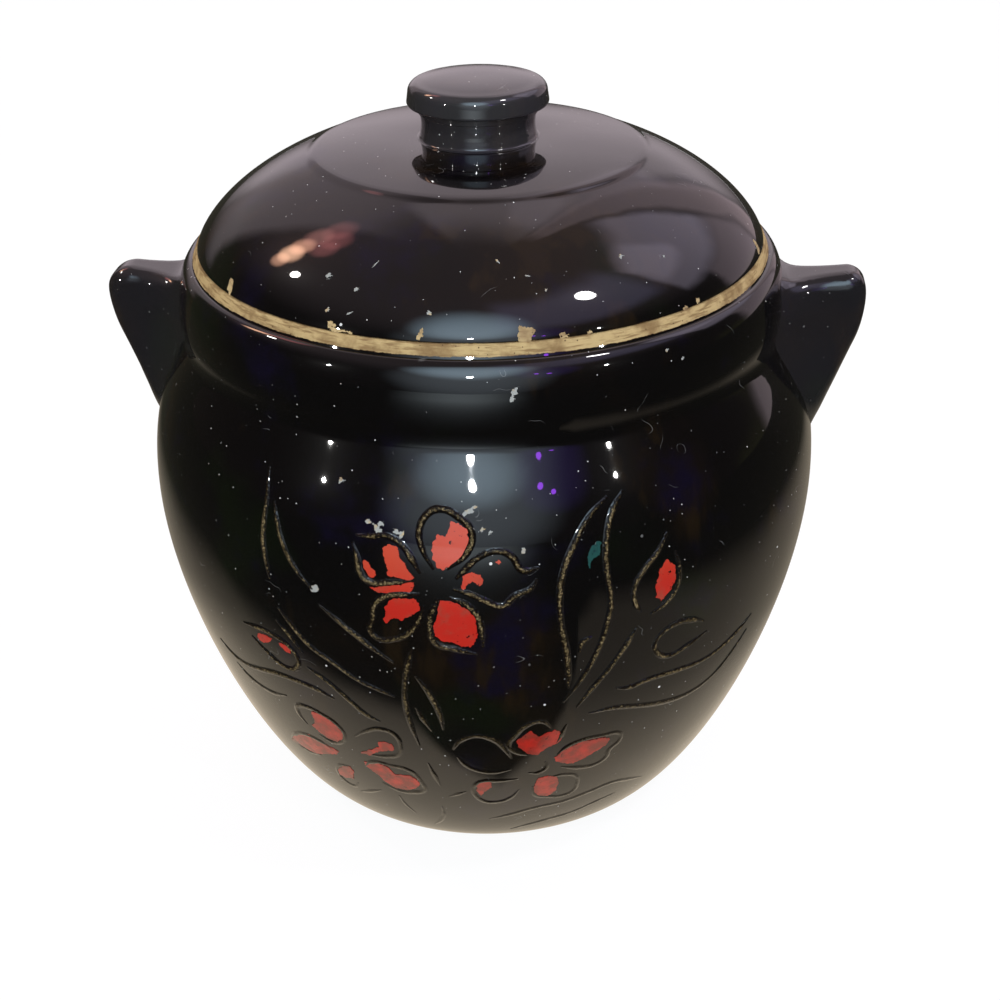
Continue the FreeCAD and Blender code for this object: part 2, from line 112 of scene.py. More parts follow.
# The ornament is drawn on a sheet rolled round the jar, as (across, up) from the front middle.
SHEET_RADIUS = 100.0
TRAILS = {
    "upper_flower": [
        [(-4.1, 120.1), (-6.3, 123.9), (-9.1, 127.3), (-13, 129.1), (-18.1, 128.4), (-21.9, 128.3)],
        [(-22.7, 126.4), (-21.3, 122.6), (-20.3, 118.3), (-18, 116.3), (-12, 116.8), (-6.3, 117.9)],
        [(-0.6, 121.4), (-3.7, 127), (-4.5, 131), (-2.6, 135.2), (1, 136.7), (5.2, 135.3),
         (9.2, 131.2), (8, 126.2), (2.8, 121.6)],
        [(5, 119), (7.2, 121.4), (11, 124.9), (16, 126.4), (19.4, 125), (22.4, 121), (26.6, 121.4)],
        [(26, 118.4), (24.2, 115.8), (20.2, 114), (17, 111.2), (12, 113.1), (8.1, 115.1), (4.2, 116.3)],
        [(0.4, 113.4), (-1.2, 109.5), (-2, 103.5), (-0.8, 99.6), (4.5, 97.7), (10.2, 96.2)],
        [(11.8, 98.6), (11.4, 103.5), (10.3, 108.6), (7.4, 112), (3.2, 113.8)],
        [(-4.4, 114.3), (-9, 113.8), (-13.7, 112.5), (-16.7, 109.3), (-17.3, 105), (-18.3, 101.4),
         (-16.3, 99.1), (-12, 99.5), (-7.5, 102.3), (-4.9, 106.5), (-3.4, 111)],
    ],
    "left_lower_flower": [
        [(-48.6, 55.2), (-50.7, 59.2), (-49.8, 62.8), (-46, 64.2), (-40.5, 63.5), (-35.8, 61), (-34, 57),
         (-36.2, 52.7), (-40.5, 50.9), (-45, 52.2)],
        [(-30, 57.6), (-25.5, 61.3), (-20, 63.8), (-16, 62.5), (-14.8, 57.5), (-16.4, 53.2), (-21, 51),
         (-27.6, 50.2)],
        [(-30.4, 43), (-27, 46.4), (-20, 46.8), (-13.5, 45.6), (-10.9, 41), (-10.4, 36.2), (-14.5, 34),
         (-20.5, 33.4), (-26, 36)],
        [(-38.2, 40), (-42.4, 38.4), (-45.3, 34.5), (-45.2, 30), (-41.5, 27.6), (-37.8, 30.8)],
        [(-41, 46), (-46, 48.4), (-52, 48.8), (-58.5, 45.8), (-64, 40.6)],
        [(-61.6, 38.9), (-56, 38.7), (-50, 40)],
    ],
    "right_lower_flower": [
        [(24.4, 55.2), (21.2, 56.8), (18.4, 60.4), (20.2, 64.2), (23.4, 68.2), (27.8, 69.6), (31.2, 66.2)],
        [(34, 53.6), (36.6, 56.4), (41, 58.3), (48, 58.4), (54.2, 57.2), (54.8, 53.8), (51.9, 50.4),
         (51.5, 47), (48.4, 44.8), (42, 45.2), (36, 47.2)],
        [(32.6, 42.6), (37.5, 42.8), (42.2, 40.6), (43.3, 36.5), (42.8, 32.6), (39.5, 30.8),
         (33.5, 31.7), (28.4, 34), (27.2, 38.6)],
        [(21.8, 43.6), (16, 43.2), (9.4, 42.7), (7, 39.6), (7.5, 35.4), (10.2, 32), (14.5, 31.2),
         (19.5, 33.2), (22.6, 37.6)],
        [(1.6, 58.4), (4.4, 62.8), (9, 64.8), (13.8, 63.2), (17.2, 59), (19.6, 54)],
        [(2.8, 55), (5, 51.4), (9, 48.6), (14, 47.6), (19.6, 48.8)],
        [(25.2, 46.2), (28.6, 45.9), (31, 48.2), (30.4, 51)],
    ],
    "left_bud": [
        [(-62.8, 89.3), (-57, 90.2), (-51, 90.2), (-46, 88.6), (-43.1, 84.6), (-44.6, 80.4),
         (-48.5, 78.9), (-54, 81.2), (-60.4, 85.6)],
    ],
    "right_bud": [
        [(62.9, 124.3), (59.6, 119.7), (55.6, 116), (52.6, 111.5), (53, 106), (54.6, 103)],
        [(65, 118.6), (66.3, 113), (65.6, 107.4), (62.4, 103.6), (57.6, 101.4)],
    ],
    "left_leaves": [
        [(-51.7, 139.5), (-50.5, 131), (-50.7, 122), (-49.7, 115), (-48.7, 109.6)],
        [(-47.9, 131.8), (-46.2, 127), (-43.2, 120.2), (-39.2, 114.8), (-34.6, 110.4)],
        [(-32.8, 106.2), (-27.4, 102.5), (-20.4, 97.2), (-12.6, 91.4)],
        [(-46.8, 101), (-43.5, 97.4), (-38.5, 91.8), (-31, 87.3), (-24, 82.8), (-17.5, 80.3),
         (-13.6, 78.6)],
        [(-48.4, 96.4), (-44.4, 92.6), (-40.6, 87.4)],
        [(-40.4, 82.4), (-36.4, 80.4), (-32, 77.2), (-27.6, 72.8), (-23.4, 68.8), (-19.6, 67.2)],
    ],
    "left_long_leaf": [
        [(-83, 72.6), (-77, 70.2), (-70.5, 70), (-62, 72), (-54, 74.2), (-46, 74.8), (-38.6, 74.2),
         (-33.4, 72.4)],
        [(-76.6, 66.8), (-71.5, 64.2), (-66, 63.2), (-60, 63.4), (-53.4, 65.4)],
    ],
    "right_leaves": [
        [(46.5, 136.8), (41, 133), (36.2, 126.7), (32.9, 119.5), (31.8, 112), (32.2, 104),
         (33.8, 95), (34.8, 86), (34.9, 81.4)],
        [(51.2, 137.4), (47.4, 133), (45.2, 127), (44.6, 119), (45.8, 109), (44.9, 102),
         (42.8, 94), (39, 85), (33.8, 76.2)],
        [(40.8, 98.6), (38.3, 97.4), (37.4, 94)],
        [(53.6, 98.2), (51.4, 94), (47, 86.8), (42, 79.6), (38, 73.4)],
    ],
    "right_oval_leaf": [
        [(76.8, 92), (72.4, 94.3), (67.5, 95.3), (62.4, 93.8), (60.1, 90.4), (61.6, 86.6),
         (66, 84.1), (72, 85.4), (79, 87.4)],
    ],
    "right_long_leaf": [
        [(49.5, 77.7), (54, 76.7), (60, 77.5), (70, 76.8), (80, 76), (88, 77), (96, 80), (101, 82.6)],
        [(42, 69.9), (50.2, 69.7), (58, 67.6), (68, 64.9), (79, 63.6), (88, 65.4), (95, 70.6),
         (101, 77)],
    ],
    "stems": [
        [(-7.2, 97), (-8.7, 91), (-10.1, 84), (-10.7, 76), (-10.1, 68), (-8.6, 59)],
        [(-6.9, 51), (-5.5, 45), (-4.2, 39.6)],
        [(-6.9, 87.6), (-4.8, 84.2), (-2.6, 79), (-1, 73), (-0.5, 67)],
        [(-7.8, 75.4), (-6.2, 71), (-3.9, 66)],
        [(35.6, 66.8), (34.4, 62.6), (33, 59)],
        [(-1.9, 33.8), (1.2, 35.6), (4.4, 37.2)],
    ],
    "ground_leaves": [
        [(12, 20), (20, 22.6), (30, 25.8), (40, 26.8), (50, 29.2), (59, 30.6), (67, 28.4), (75, 25.4)],
        [(21, 10.6), (28, 13.2), (36, 15.4), (46, 17.2), (56, 20.4), (64, 22)],
        [(-5.4, 27), (-5.7, 22), (-8, 17), (-11.6, 13)],
        [(-39.4, 25.2), (-33.6, 28), (-28.2, 30.8)],
        [(-21.2, 30), (-20.2, 25), (-17.6, 20)],
    ],
}

# Lumps on the crest of a line: size across and height, in millimetres
CREST_LUMP = (1.8, 0.14)

# Distances up the sheet between which the lines reach their full height, in millimetres
LOW_LINES = (60, 85)

# Edge of a patch of paint: steps in which it frays, and how far it frays, in millimetres
FRAY_STEP = 0.25
PAINT_FRAY = 0.36

# A patch is cut into cells of this size and sunk this deep, in millimetres
PATCH_CELL = 2
PATCH_SINK = 0.2

# Worn patches of paint inside the petals, on the same sheet
RED_PATCHES = {
    "upper_flower": [
        [(-13.9, 126.4), (-12.5, 127.3), (-10.3, 126.4), (-9.1, 123.3), (-7.5, 120.8), (-5.8, 118.9),
         (-7.5, 117.8), (-10, 118.3), (-12.8, 118.9), (-13, 121.4), (-13.9, 123.9)],
        [(-19.8, 121.7), (-18.8, 122.3), (-17.2, 120.1), (-16.1, 119.2), (-16.6, 117.6),
         (-17.8, 117.4), (-19.1, 119.5)],
        [(-17.9, 114.7), (-15, 115.1), (-11.3, 116.1), (-7.5, 117.3), (-5.8, 117.6), (-6.1, 115.4),
         (-7.5, 114.5), (-11.3, 113.8), (-15.6, 113.6)],
        [(3.8, 133.9), (5.6, 133.6), (8.4, 131.7), (8.6, 128.9), (6.9, 125.1), (4.4, 122.6),
         (1.6, 121.4), (0.1, 122), (-1.2, 126.4), (-0.6, 128.9), (0.3, 130.4), (2.6, 130), (3.4, 132)],
        [(6.3, 117), (6.9, 119.8), (9.1, 121.1), (11.6, 120.4), (12, 118.3), (11.3, 117.2),
         (9.4, 118.3), (8.1, 117.9), (7, 116.2)],
        [(15.4, 123.6), (16.1, 124.3), (16.8, 123.6), (16.1, 122.9)],
        [(0.9, 112.6), (3.1, 112.8), (5, 112), (8.1, 110.1), (10.1, 107.6), (10.3, 102.6),
         (9.4, 100.4), (8.4, 98.6), (6.2, 98.9), (4.4, 99.8), (0.9, 100.4), (-0.9, 102),
         (-1.2, 104.5), (-0.3, 107), (0.3, 110.1)],
        [(-13.8, 109.5), (-12.5, 111.4), (-10, 112.5), (-6.2, 112.8), (-4.7, 111.4), (-4.5, 109.5),
         (-6.9, 107.9), (-9.4, 106.1), (-10.9, 106.7), (-12.5, 105.8), (-13.8, 104.5),
         (-14.2, 105.4), (-13.4, 108.2)],
    ],
    "right_bud": [
        [(62.4, 116.9), (64.9, 114.1), (65.2, 109.9), (63.5, 107.1), (60.7, 104.7), (59.3, 106.4),
         (58.9, 109.9), (60.3, 114.8)],
    ],
    "left_bud": [
        [(-57.9, 86.5), (-56.8, 87.9), (-54, 88.6), (-51.6, 88.4), (-53, 86.5), (-55.4, 85.4),
         (-57.5, 85.8)],
        [(-49.1, 87.9), (-46.3, 88.2), (-44.9, 87.2), (-45.3, 85.4), (-47, 85.8), (-48.4, 86.5)],
    ],
    "left_lower_flower": [
        [(-44.1, 62.8), (-41.2, 63.1), (-38.1, 62.2), (-35.6, 60), (-34.4, 57.5), (-35.3, 54.4),
         (-38.1, 52.2), (-41.2, 52.2), (-44.4, 53.8), (-46.6, 55.9), (-45, 57.5), (-44.4, 59.4)],
        [(-30, 50), (-22.5, 55), (-21.9, 57.5), (-20, 58.1), (-17.5, 57.5), (-17.5, 55),
         (-22.5, 53.1), (-26.9, 50)],
        [(-30, 45.6), (-25, 46.6), (-21.2, 45.6), (-20, 42.5), (-13.8, 43.1), (-11.2, 40),
         (-12.5, 37.5), (-16.2, 35), (-21.2, 34.4), (-24.4, 36.9), (-26.2, 40), (-29.4, 43.1)],
        [(-37.5, 40), (-36.9, 37.5), (-38.8, 33.1), (-43.1, 31.6), (-45.3, 32.5), (-44.4, 35.6),
         (-41.2, 38.8)],
        [(-64, 40), (-60, 45), (-56.2, 47.5), (-50.6, 49.7), (-45, 48.4), (-39.4, 46.6),
         (-41.2, 44.7), (-46.2, 42.5), (-51.9, 39.4), (-56.9, 39.7)],
    ],
    "right_lower_flower": [
        [(20.6, 61.9), (23.8, 65), (25, 65.9), (27.5, 63.1), (30, 64.4), (32.5, 65.3), (35, 62.5),
         (33.8, 59.4), (30, 57.5), (27.5, 55), (24.4, 56.2), (21.9, 58.8)],
        [(33.1, 52.5), (36.2, 55.6), (41.2, 57.8), (47.5, 57.5), (51.2, 56.2), (50, 53.1),
         (46.2, 51.2), (43.1, 49.4), (40, 48.1), (36.2, 49.1), (33.8, 50.6)],
        [(28.8, 43.1), (31.9, 43.4), (35, 42.5), (36.2, 38.8), (35.6, 34.4), (33.1, 32.2),
         (30, 32.5), (28.1, 35), (27.8, 38.8)],
        [(9.4, 43.1), (12.8, 43.1), (13.1, 40), (10.6, 37.5), (9.4, 35.3), (8.1, 37.5), (8.1, 40.6)],
    ],
}
GREEN_PATCHES = {
    "right_leaves": [
        [(42.5, 126.7), (43.3, 125.8), (43, 122.6), (41.6, 122), (40.6, 121.4), (40, 119.2),
         (39.5, 120.8), (39.9, 123.9)],
    ],
}

# Thickness of a chip or a crumb, and how far its edge frays, in millimetres
FLAKE = 0.05
FLAKE_FRAY = 0.5

# Chips of bare clay at the lid's lower edge: degrees from the front, height above the table, width and
# tall in millimetres, and lean in degrees
LID_CHIPS = [
    (-48.1, 178.1, 2.4, 5.6, -24),
    (-20.3, 177.9, 3.0, 1.3, 10),
    (-18.4, 176.9, 5.6, 1.0, 0),
    (-3.3, 177.7, 1.9, 2.8, 10),
    (15.3, 177.6, 4.6, 4.4, 0),
    (22.1, 176.8, 2.8, 1.5, 0),
    (26.8, 176.7, 1.6, 1.0, 0),
    (47.7, 176.6, 2.0, 1.4, 0),
    (51.2, 177.3, 1.6, 1.4, 0),
    (80.1, 178.6, 2.4, 4.4, 12),
]

# Pale crumbs stuck to the glaze, written like the chips
LID_CRUMBS = [
    (-21.8, 180.8, 1.1, 1.1, 0),
    (-17.2, 185.8, 1.2, 1.2, 0),
    (-24.3, 187.2, 1.7, 1.5, 0),
    (-2.0, 182.6, 1.6, 0.9, 30),
    (38.5, 190.1, 1.3, 1.2, 0),
    (20.1, 186.4, 0.7, 0.7, 0),
    (48.4, 188.0, 0.7, 0.7, 0),
    (11.2, 191.9, 0.5, 1.6, -35),
    (-17.2, 181.0, 0.4, 1.8, 60),
    (-15.2, 190.6, 0.3, 2.6, 25),
    (17.0, 189.2, 1.6, 0.4, 20),
]
JAR_CRUMBS = [
    (-19.2, 110.8, 2.2, 2.2, 0),
    (-10.5, 132.0, 2.4, 1.1, 10),
    (-8.6, 131.9, 1.9, 1.5, -20),
    (-8.9, 130.4, 3.0, 1.6, 30),
    (-5.9, 130.3, 2.2, 1.3, 20),
    (-5.2, 129.6, 1.5, 2.1, 0),
    (4.9, 136.3, 3.2, 1.6, -25),
    (5.9, 137.2, 1.4, 0.9, 0),
    (7.0, 131.8, 1.0, 1.5, 20),
    (8.2, 131.1, 1.3, 0.9, -40),
    (13.1, 126.1, 1.2, 1.6, 0),
    (12.6, 165.6, 1.6, 2.2, 15),
    (12.2, 163.9, 1.2, 1.5, 0),
    (-15.8, 140.6, 1.9, 1.1, 0),
    (40.3, 169.7, 0.9, 0.9, 0),
    (43.3, 166.6, 0.8, 0.8, 0),
]

# Half width of a lug where it meets the jar, as (height, half width) from the foot up, and how far that
# width sweeps out along the lug, both at heights in millimetres
LUG_ROOT = [(122, 6.6), (129, 10.5), (138, 14.5), (149, 17.5), (157, 17), (162, 14), (167, 12), (171, 10)]
LUG_SWEEP = [(130, 12), (150, 22)]

# Depths below the rim at which a lug's root follows the jar, and the size of its cells, in millimetres
LUG_STEPS = [26, 41, 55]
LUG_CELL = 1.5

# The left lug's root is broader, and the back of both is fuller than the front
LEFT_BROADER = 1.12
BACK_SHARE = 0.72

# The top of a lug rises towards the jar, over this much down and out from its root, in millimetres
LIFT_DOWN = 9
LIFT_OUT = 6

# The left lug is a little shorter from this distance to the jar on, in millimetres
LEFT_BACK_FROM = 10

# Lumps of the hand-shaped lugs: size across and height, in millimetres
LUG_LUMP = (14, 0.25)


def length(name, description, millimetres):
    """A size the user can change, in metres."""
    return FloatProperty(
        name=name, description=description, default=millimetres * MM, unit="LENGTH", subtype="DISTANCE"
    )


def angle(name, description, degrees):
    return FloatProperty(name=name, description=description, default=math.radians(degrees), subtype="ANGLE")


def colour(name, description, value):
    return FloatVectorProperty(
        name=name, description=description, default=value, size=3, min=0, max=1, subtype="COLOR"
    )


class JarSizes(bpy.types.PropertyGroup):
    """Sizes of the jar's wall."""

    foot_radius: length("Foot radius", "Outer radius of the foot ring", 57)
    foot_ring: length("Foot ring", "Width of the foot ring", 9)
    foot_recess: length("Foot recess", "Depth of the hollow under the foot", 2.5)
    foot_flare: angle("Foot flare", "Rise of the side where it leaves the foot", 14.8)
    belly_radius: length("Belly radius", "Largest radius of the side", 100)
    belly_height: length("Belly height", "Height of the largest radius", 106)
    crease_radius: length("Crease radius", "Radius where the collar stands on the shoulder", 87)
    crease_height: length("Crease height", "Height of that crease", 152)
    shoulder_slope: angle("Shoulder slope", "Slope of the shoulder at the crease", 67.5)
    collar_height: length("Collar height", "Height of the glazed collar", 20.8)
    rim_radius: length("Rim radius", "Radius at the top of the glazed collar", 83.2)
    bare_edge: length("Bare edge", "Height of the bare clay edge at the rim", 3.4)
    bare_lean: length("Bare edge lean", "How far the bare edge leans inwards", 1.4)
    wall: length("Wall", "Thickness of the wall", 7)
    floor: length("Floor", "Thickness of the floor", 8)
    mouth_radius: length("Mouth radius", "Radius of the mouth", 75)
    mouth_depth: length("Mouth depth", "Depth of the straight part of the mouth", 10)
    segments: IntProperty(name="Segments", description="Steps round a turned piece", default=256, min=32)


class LidSizes(bpy.types.PropertyGroup):
    """Sizes of the lid and its knob."""

    radius: length("Lid radius", "Radius of the lid's edge", 81.4)
    dome_height: length("Dome height", "Rise from the edge to the foot of the disc", 24.4)
    disc_radius: length("Disc radius", "Radius of the raised disc", 46.6)
    disc_step: length("Disc step", "Height of the raised disc's edge", 1.4)
    disc_crown: length("Disc crown", "Rise of the disc to its middle", 2.5)
    wall: length("Lid wall", "Thickness of the lid", 6.5)
    flange_play: length("Flange play", "Gap between the flange and the mouth", 1.5)
    flange_wall: length("Flange wall", "Thickness of the flange", 5)
    flange_depth: length("Flange depth", "Depth of the flange", 9)
    knob_radius: length("Knob radius", "Radius of the knob's disc", 19.6)
    knob_thickness: length("Knob thickness", "Thickness of the knob's disc", 6.4)
    knob_edge: length("Knob edge", "Rounding of the knob's upper edge", 3)
    knob_crown: length("Knob crown", "Rise of the knob's top", 1.3)
    neck_radius: length("Neck radius", "Radius of the knob's neck", 16.6)
    neck_waist: length("Neck waist", "How far the neck is drawn in", 0.4)
    neck_height: length("Neck height", "Height of the neck", 9.4)


class LugSizes(bpy.types.PropertyGroup):
    """Sizes of the two lug handles."""

    thickness: length("Thickness", "Thickness of a lug", 13)
    edge: length("Edge", "Rounding of a lug's rim", 4.2)
    top_reach: length("Top reach", "How far the top corner stands out from the belly", 9.3)
    reach: length("Reach", "How far the side corner stands out from the belly", 13.3)
    root_drop: length("Root drop", "Depth of the lug's top below the rim, at the jar", 11)
    top_drop: length("Top drop", "Depth of the top corner below the rim", 7.6)
    corner_drop: length("Corner drop", "Depth of the side corner below the rim", 18.5)
    height: length("Height", "Height of a lug and its root", 64)
    top_round: length("Top corner", "Rounding of the top corner", 4)
    corner_round: length("Side corner", "Rounding of the side corner", 11)
    sink: length("Sink", "How deep the root goes into the wall", 3.5)
    lift: length("Lift", "How far the top sweeps up to the jar", 1.5)
    left_turn: angle("Left turn", "Turn of the left lug to the front", 3.5)
    left_drop: length("Left drop", "How much lower the left lug sits", 2)
    left_back: length("Left set back", "How much shorter the left lug is", 0.6)
    left_round: length("Left top corner", "Rounding of the left lug's top corner", 6)


class SlipSizes(bpy.types.PropertyGroup):
    """Sizes of the trailed lines and of the paint."""

    width: length("Line width", "Width of a trailed line at its base", 2.35)
    height: length("Line height", "Height of a trailed line", 0.5)
    sunk: length("Sunk", "How deep a line goes into the jar", 0.35)
    low_share: FloatProperty(
        name="Lower lines", description="Share of the height left to the lines near the foot", default=0.5
    )
    tip: FloatProperty(name="Tip", description="Share of the width left at a line's tip", default=0.35)
    paint: length("Paint", "Thickness of the paint", 0.12)


class Finishes(bpy.types.PropertyGroup):
    """Colours of the glaze, the clay and the paint."""

    glaze: colour("Glaze", "Main colour of the dark glaze", (0.0016, 0.0014, 0.0016))
    glaze_brown: colour("Thin glaze", "Brown tone of the glaze", (0.0052, 0.0030, 0.0015))
    glaze_blue: colour("Deep glaze", "Violet tone of the glaze", (0.0028, 0.0018, 0.0090))
    glaze_green: colour("Pooled glaze", "Green tone of the glaze", (0.0024, 0.0042, 0.0014))
    dust: colour("Dust", "Pale specks in the glaze", (0.62, 0.62, 0.58))
    crumb: colour("Crumb", "Pale crumbs stuck to the glaze", (0.30, 0.31, 0.28))
    clay: colour("Clay", "Bare clay", (0.47, 0.345, 0.160))
    clay_dark: colour("Dark clay", "Soiled bare clay", (0.22, 0.14, 0.062))
    slip: colour("Slip", "Clay that shows on the crests of the trailed lines", (0.066, 0.048, 0.019))
    slip_pale: colour("Pale slip", "Pale grains on the crests", (0.250, 0.190, 0.095))
    red: colour("Red paint", "Coral paint in the petals", (0.42, 0.016, 0.008))
    red_worn: colour("Worn red paint", "Paint where it is rubbed thin", (0.31, 0.036, 0.020))
    green: colour("Green paint", "Trace of green paint in a leaf", (0.012, 0.060, 0.052))


class Studio(bpy.types.PropertyGroup):
    """Camera, floor and lamps."""

    camera_place: FloatVectorProperty(
        name="Camera", description="Place of the camera", size=3, unit="LENGTH", subtype="TRANSLATION",
        default=(0.05856, -0.44025, 0.33524),
    )
    camera_turn: FloatVectorProperty(
        name="Camera turn", description="Turn of the camera", size=3, subtype="EULER",
        default=(math.radians(60.740), math.radians(0.773), math.radians(6.567)),
    )
    lens: FloatProperty(name="Lens", description="Focal length in millimetres", default=57.6)
    floor_colour: colour("Floor", "Colour of the table top", (0.72, 0.71, 0.69))
    key: FloatProperty(name="Key", description="Strength of the lamps", default=1.0, min=0)
    sky: FloatProperty(name="Sky", description="Strength of the light from behind", default=1.0, min=0)


# Pulls of the profile's curves at their ends, in millimetres, the same as in the solids
FOOT_PULL = 17.6
BELLY_PULL_DOWN = 39.4
BELLY_PULL_UP = 26
SHOULDER_PULL = 13.4
COLLAR_SWELL = 2.8
COLLAR_SWELL_HEIGHT = 5
COLLAR_ROUND = 4.6
LID_EDGE_PULL = 1.3
DOME_PULL = 28.8
DOME_SLOPE = math.radians(-21.5)
DISC_STEP_WIDTH = 2.9
DISC_STEP_PULL = 1.45


class Skin:
    """Outer face of a turned piece, measured along its profile from the bottom up."""

    def __init__(self, points):
        steps = [(b - a).length for a, b in zip(points, points[1:])]
        self.walked = np.concatenate([[0.0], np.cumsum(steps)])
        self.radii = np.array([p.x for p in points])
        self.heights = np.array([p.z for p in points])

    def walked_at(self, height):
        return float(np.interp(height, self.heights, self.walked))

    def radius_at(self, height):
        return float(np.interp(height, self.heights, self.radii))

    def profile(self, walked):
        """Radius and height of a point of the profile."""
        radius = float(np.interp(walked, self.walked, self.radii))
        height = float(np.interp(walked, self.walked, self.heights))
        return radius, height

    def place(self, turn, walked, lift):
        """Point at an angle from the front and a distance along the profile, lifted off the skin."""
        step = 0.4 * MM
        low_radius, low_height = self.profile(walked - step)
        high_radius, high_height = self.profile(walked + step)
        radius, height = self.profile(walked)
        along = Vector((high_radius - low_radius, high_height - low_height)).normalized()
        radius += along.y * lift
        height -= along.x * lift
        return Vector((math.sin(turn) * radius, -math.cos(turn) * radius, height))


def at(radius, height):
    """Point of a profile, in the XZ plane."""
    return Vector((radius, 0, height))


def reach(slope, size):
    """Step of a given size at a slope above the horizontal, in the XZ plane."""
    return Vector((math.cos(slope), 0, math.sin(slope))) * size


def bend(start, first_handle, last_handle, end, count):
    """Points of a curve after its start, so that it can follow a point that is already there."""
    return interpolate_bezier(start, first_handle, last_handle, end, count)[1:]


def between(table, place):
    """Value of a table of (place, value) in millimetres, at a place in metres."""
    places, values = zip(*table)
    return float(np.interp(place / MM, places, values)) * MM


def softened(points, sizes):
    """The same run of points, with each corner that has a size rounded off."""
    run = [points[0]]
    for before, corner, after, size in zip(points, points[1:], points[2:], sizes):
        if size == 0:
            run.append(corner)
            continue
        start = corner + (before - corner).normalized() * size
        end = corner + (after - corner).normalized() * size
        run.extend(interpolate_bezier(start, start.lerp(corner, 0.55), end.lerp(corner, 0.55), end, 6))
    run.append(points[-1])
    return run


def side_points(jar, margin, foot_height, count):
    """Side of the jar from the foot to the crease, drawn in by a margin."""
    foot = at(jar.foot_radius - margin, foot_height)
    belly = at(jar.belly_radius - margin, jar.belly_height)
    crease = at(jar.crease_radius - margin, jar.crease_height)
    off_foot = foot + reach(jar.foot_flare, FOOT_PULL * MM)
    off_crease = crease + reach(-jar.shoulder_slope, SHOULDER_PULL * MM)
    lower = interpolate_bezier(foot, off_foot, belly - at(0, BELLY_PULL_DOWN * MM), belly, count)
    upper = interpolate_bezier(belly, belly + at(0, BELLY_PULL_UP * MM), off_crease, crease, count)
    return lower + upper[1:]


def collar_points(jar, count):
    """Swelling side of the collar from the crease to the bare edge."""
    crease = at(jar.crease_radius, jar.crease_height)
    top = at(jar.rim_radius, jar.crease_height + jar.collar_height)
    swell = crease + at(COLLAR_SWELL * MM, COLLAR_SWELL_HEIGHT * MM)
    return interpolate_bezier(crease, swell, top + at(COLLAR_ROUND * MM, 0), top, count)


def outer_points(jar):
    """Outside of the jar from the foot to the bare edge, with a soft crease."""
    side = side_points(jar, 0, 0, 48)
    collar = collar_points(jar, 28)
    from_side = (side[-3] - side[-4]) * 1.6
    to_collar = (collar[4] - collar[3]) * 1.6
    soft = interpolate_bezier(side[-4], side[-4] + from_side, collar[4] - to_collar, collar[4], 10)
    return side[:-4] + soft + collar[5:]


def rim_height(jar):
    """Height of the jar's top, where the lid rests."""
    return jar.crease_height + jar.collar_height + jar.bare_edge


def dome_points(jar, lid):
    """Outside of the lid from its lower edge to the knob's seat."""
    rim = rim_height(jar)
    edge = at(lid.radius, rim)
    step_foot = at(lid.disc_radius + DISC_STEP_WIDTH * MM, rim + lid.dome_height)
    step_top = at(lid.disc_radius, rim + lid.dome_height + lid.disc_step)
    crown = step_top.z + lid.disc_crown
    dome = interpolate_bezier(
        edge, edge + at(0, LID_EDGE_PULL * MM), step_foot + reach(DOME_SLOPE, DOME_PULL * MM), step_foot, 48
    )
    pull = reach(DOME_SLOPE, DISC_STEP_PULL * MM)
    step = interpolate_bezier(step_foot, step_foot - pull, step_top + pull, step_top, 10)
    seat = at(lid.neck_radius + 1 * MM, crown)
    middle = at((step_top.x + seat.x) / 2, crown)
    disc = interpolate_bezier(step_top, step_top.lerp(middle, 0.66), seat.lerp(middle, 0.66), seat, 20)
    return dome + step[1:] + disc[1:]


def finish_mesh(bm, name):
    """Object at the origin from a bmesh, with smooth faces that point outwards and crisp corners."""
    bmesh.ops.remove_doubles(bm, verts=bm.verts, dist=0.001 * MM)
    bmesh.ops.recalc_face_normals(bm, faces=bm.faces)
    for face in bm.faces:
        face.smooth = True
    for edge in bm.edges:
        edge.smooth = edge.calc_face_angle(0) < CRISP
    mesh = bpy.data.meshes.new(name)
    bm.to_mesh(mesh)
    bm.free()
    piece = bpy.data.objects.new(name, mesh)
    bpy.context.scene.collection.objects.link(piece)
    return piece


def turned(name, points, segments):
    """Piece turned about Z from a run of profile points."""
    bm = bmesh.new()
    verts = [bm.verts.new(point) for point in points]
    edges = [bm.edges.new(pair) for pair in zip(verts, verts[1:])]
    bmesh.ops.spin(
        bm,
        geom=verts + edges,
        cent=(0, 0, 0),
        axis=(0, 0, 1),
        angle=2 * math.pi,
        steps=segments,
        use_merge=True,
    )
    return finish_mesh(bm, name)


def cut_through(bm, point, normal, tolerance):
    """Cuts the faces of a mesh along a plane."""
    everything = bm.verts[:] + bm.edges[:] + bm.faces[:]
    bmesh.ops.bisect_plane(bm, geom=everything, dist=tolerance, plane_co=point, plane_no=normal)


def only_verts(parts):
    return [part for part in parts if isinstance(part, bmesh.types.BMVert)]


def settle(piece, body, slot, material, *nodes):
    """Gives a finished piece its material, its body and the nodes it stands for."""
    piece.data.materials.append(material)
    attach(piece, body)
    if nodes:
        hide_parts(*nodes)
    return piece


def add_node(tree, kind, inputs=None, **settings):
    """New node with its settings, its input values and its links."""
    made = tree.nodes.new(kind)
    for name, value in settings.items():
        setattr(made, name, value)
    for name, value in (inputs or {}).items():
        if isinstance(value, bpy.types.NodeSocket):
            tree.links.new(value, made.inputs[name])
        else:
            made.inputs[name].default_value = value
    return made


def maths(tree, operation, first, second=0.0):
    """Result of a node of scalar maths."""
    return add_node(tree, "ShaderNodeMath", {0: first, 1: second}, operation=operation).outputs[0]


def product(tree, first, second):
    return maths(tree, "MULTIPLY", first, second)


def swing(tree, pattern, size):
    """Turns a pattern that goes from 0 to 1 into one that goes from minus to plus half a size."""
    return product(tree, maths(tree, "SUBTRACT", pattern, 0.5), size)


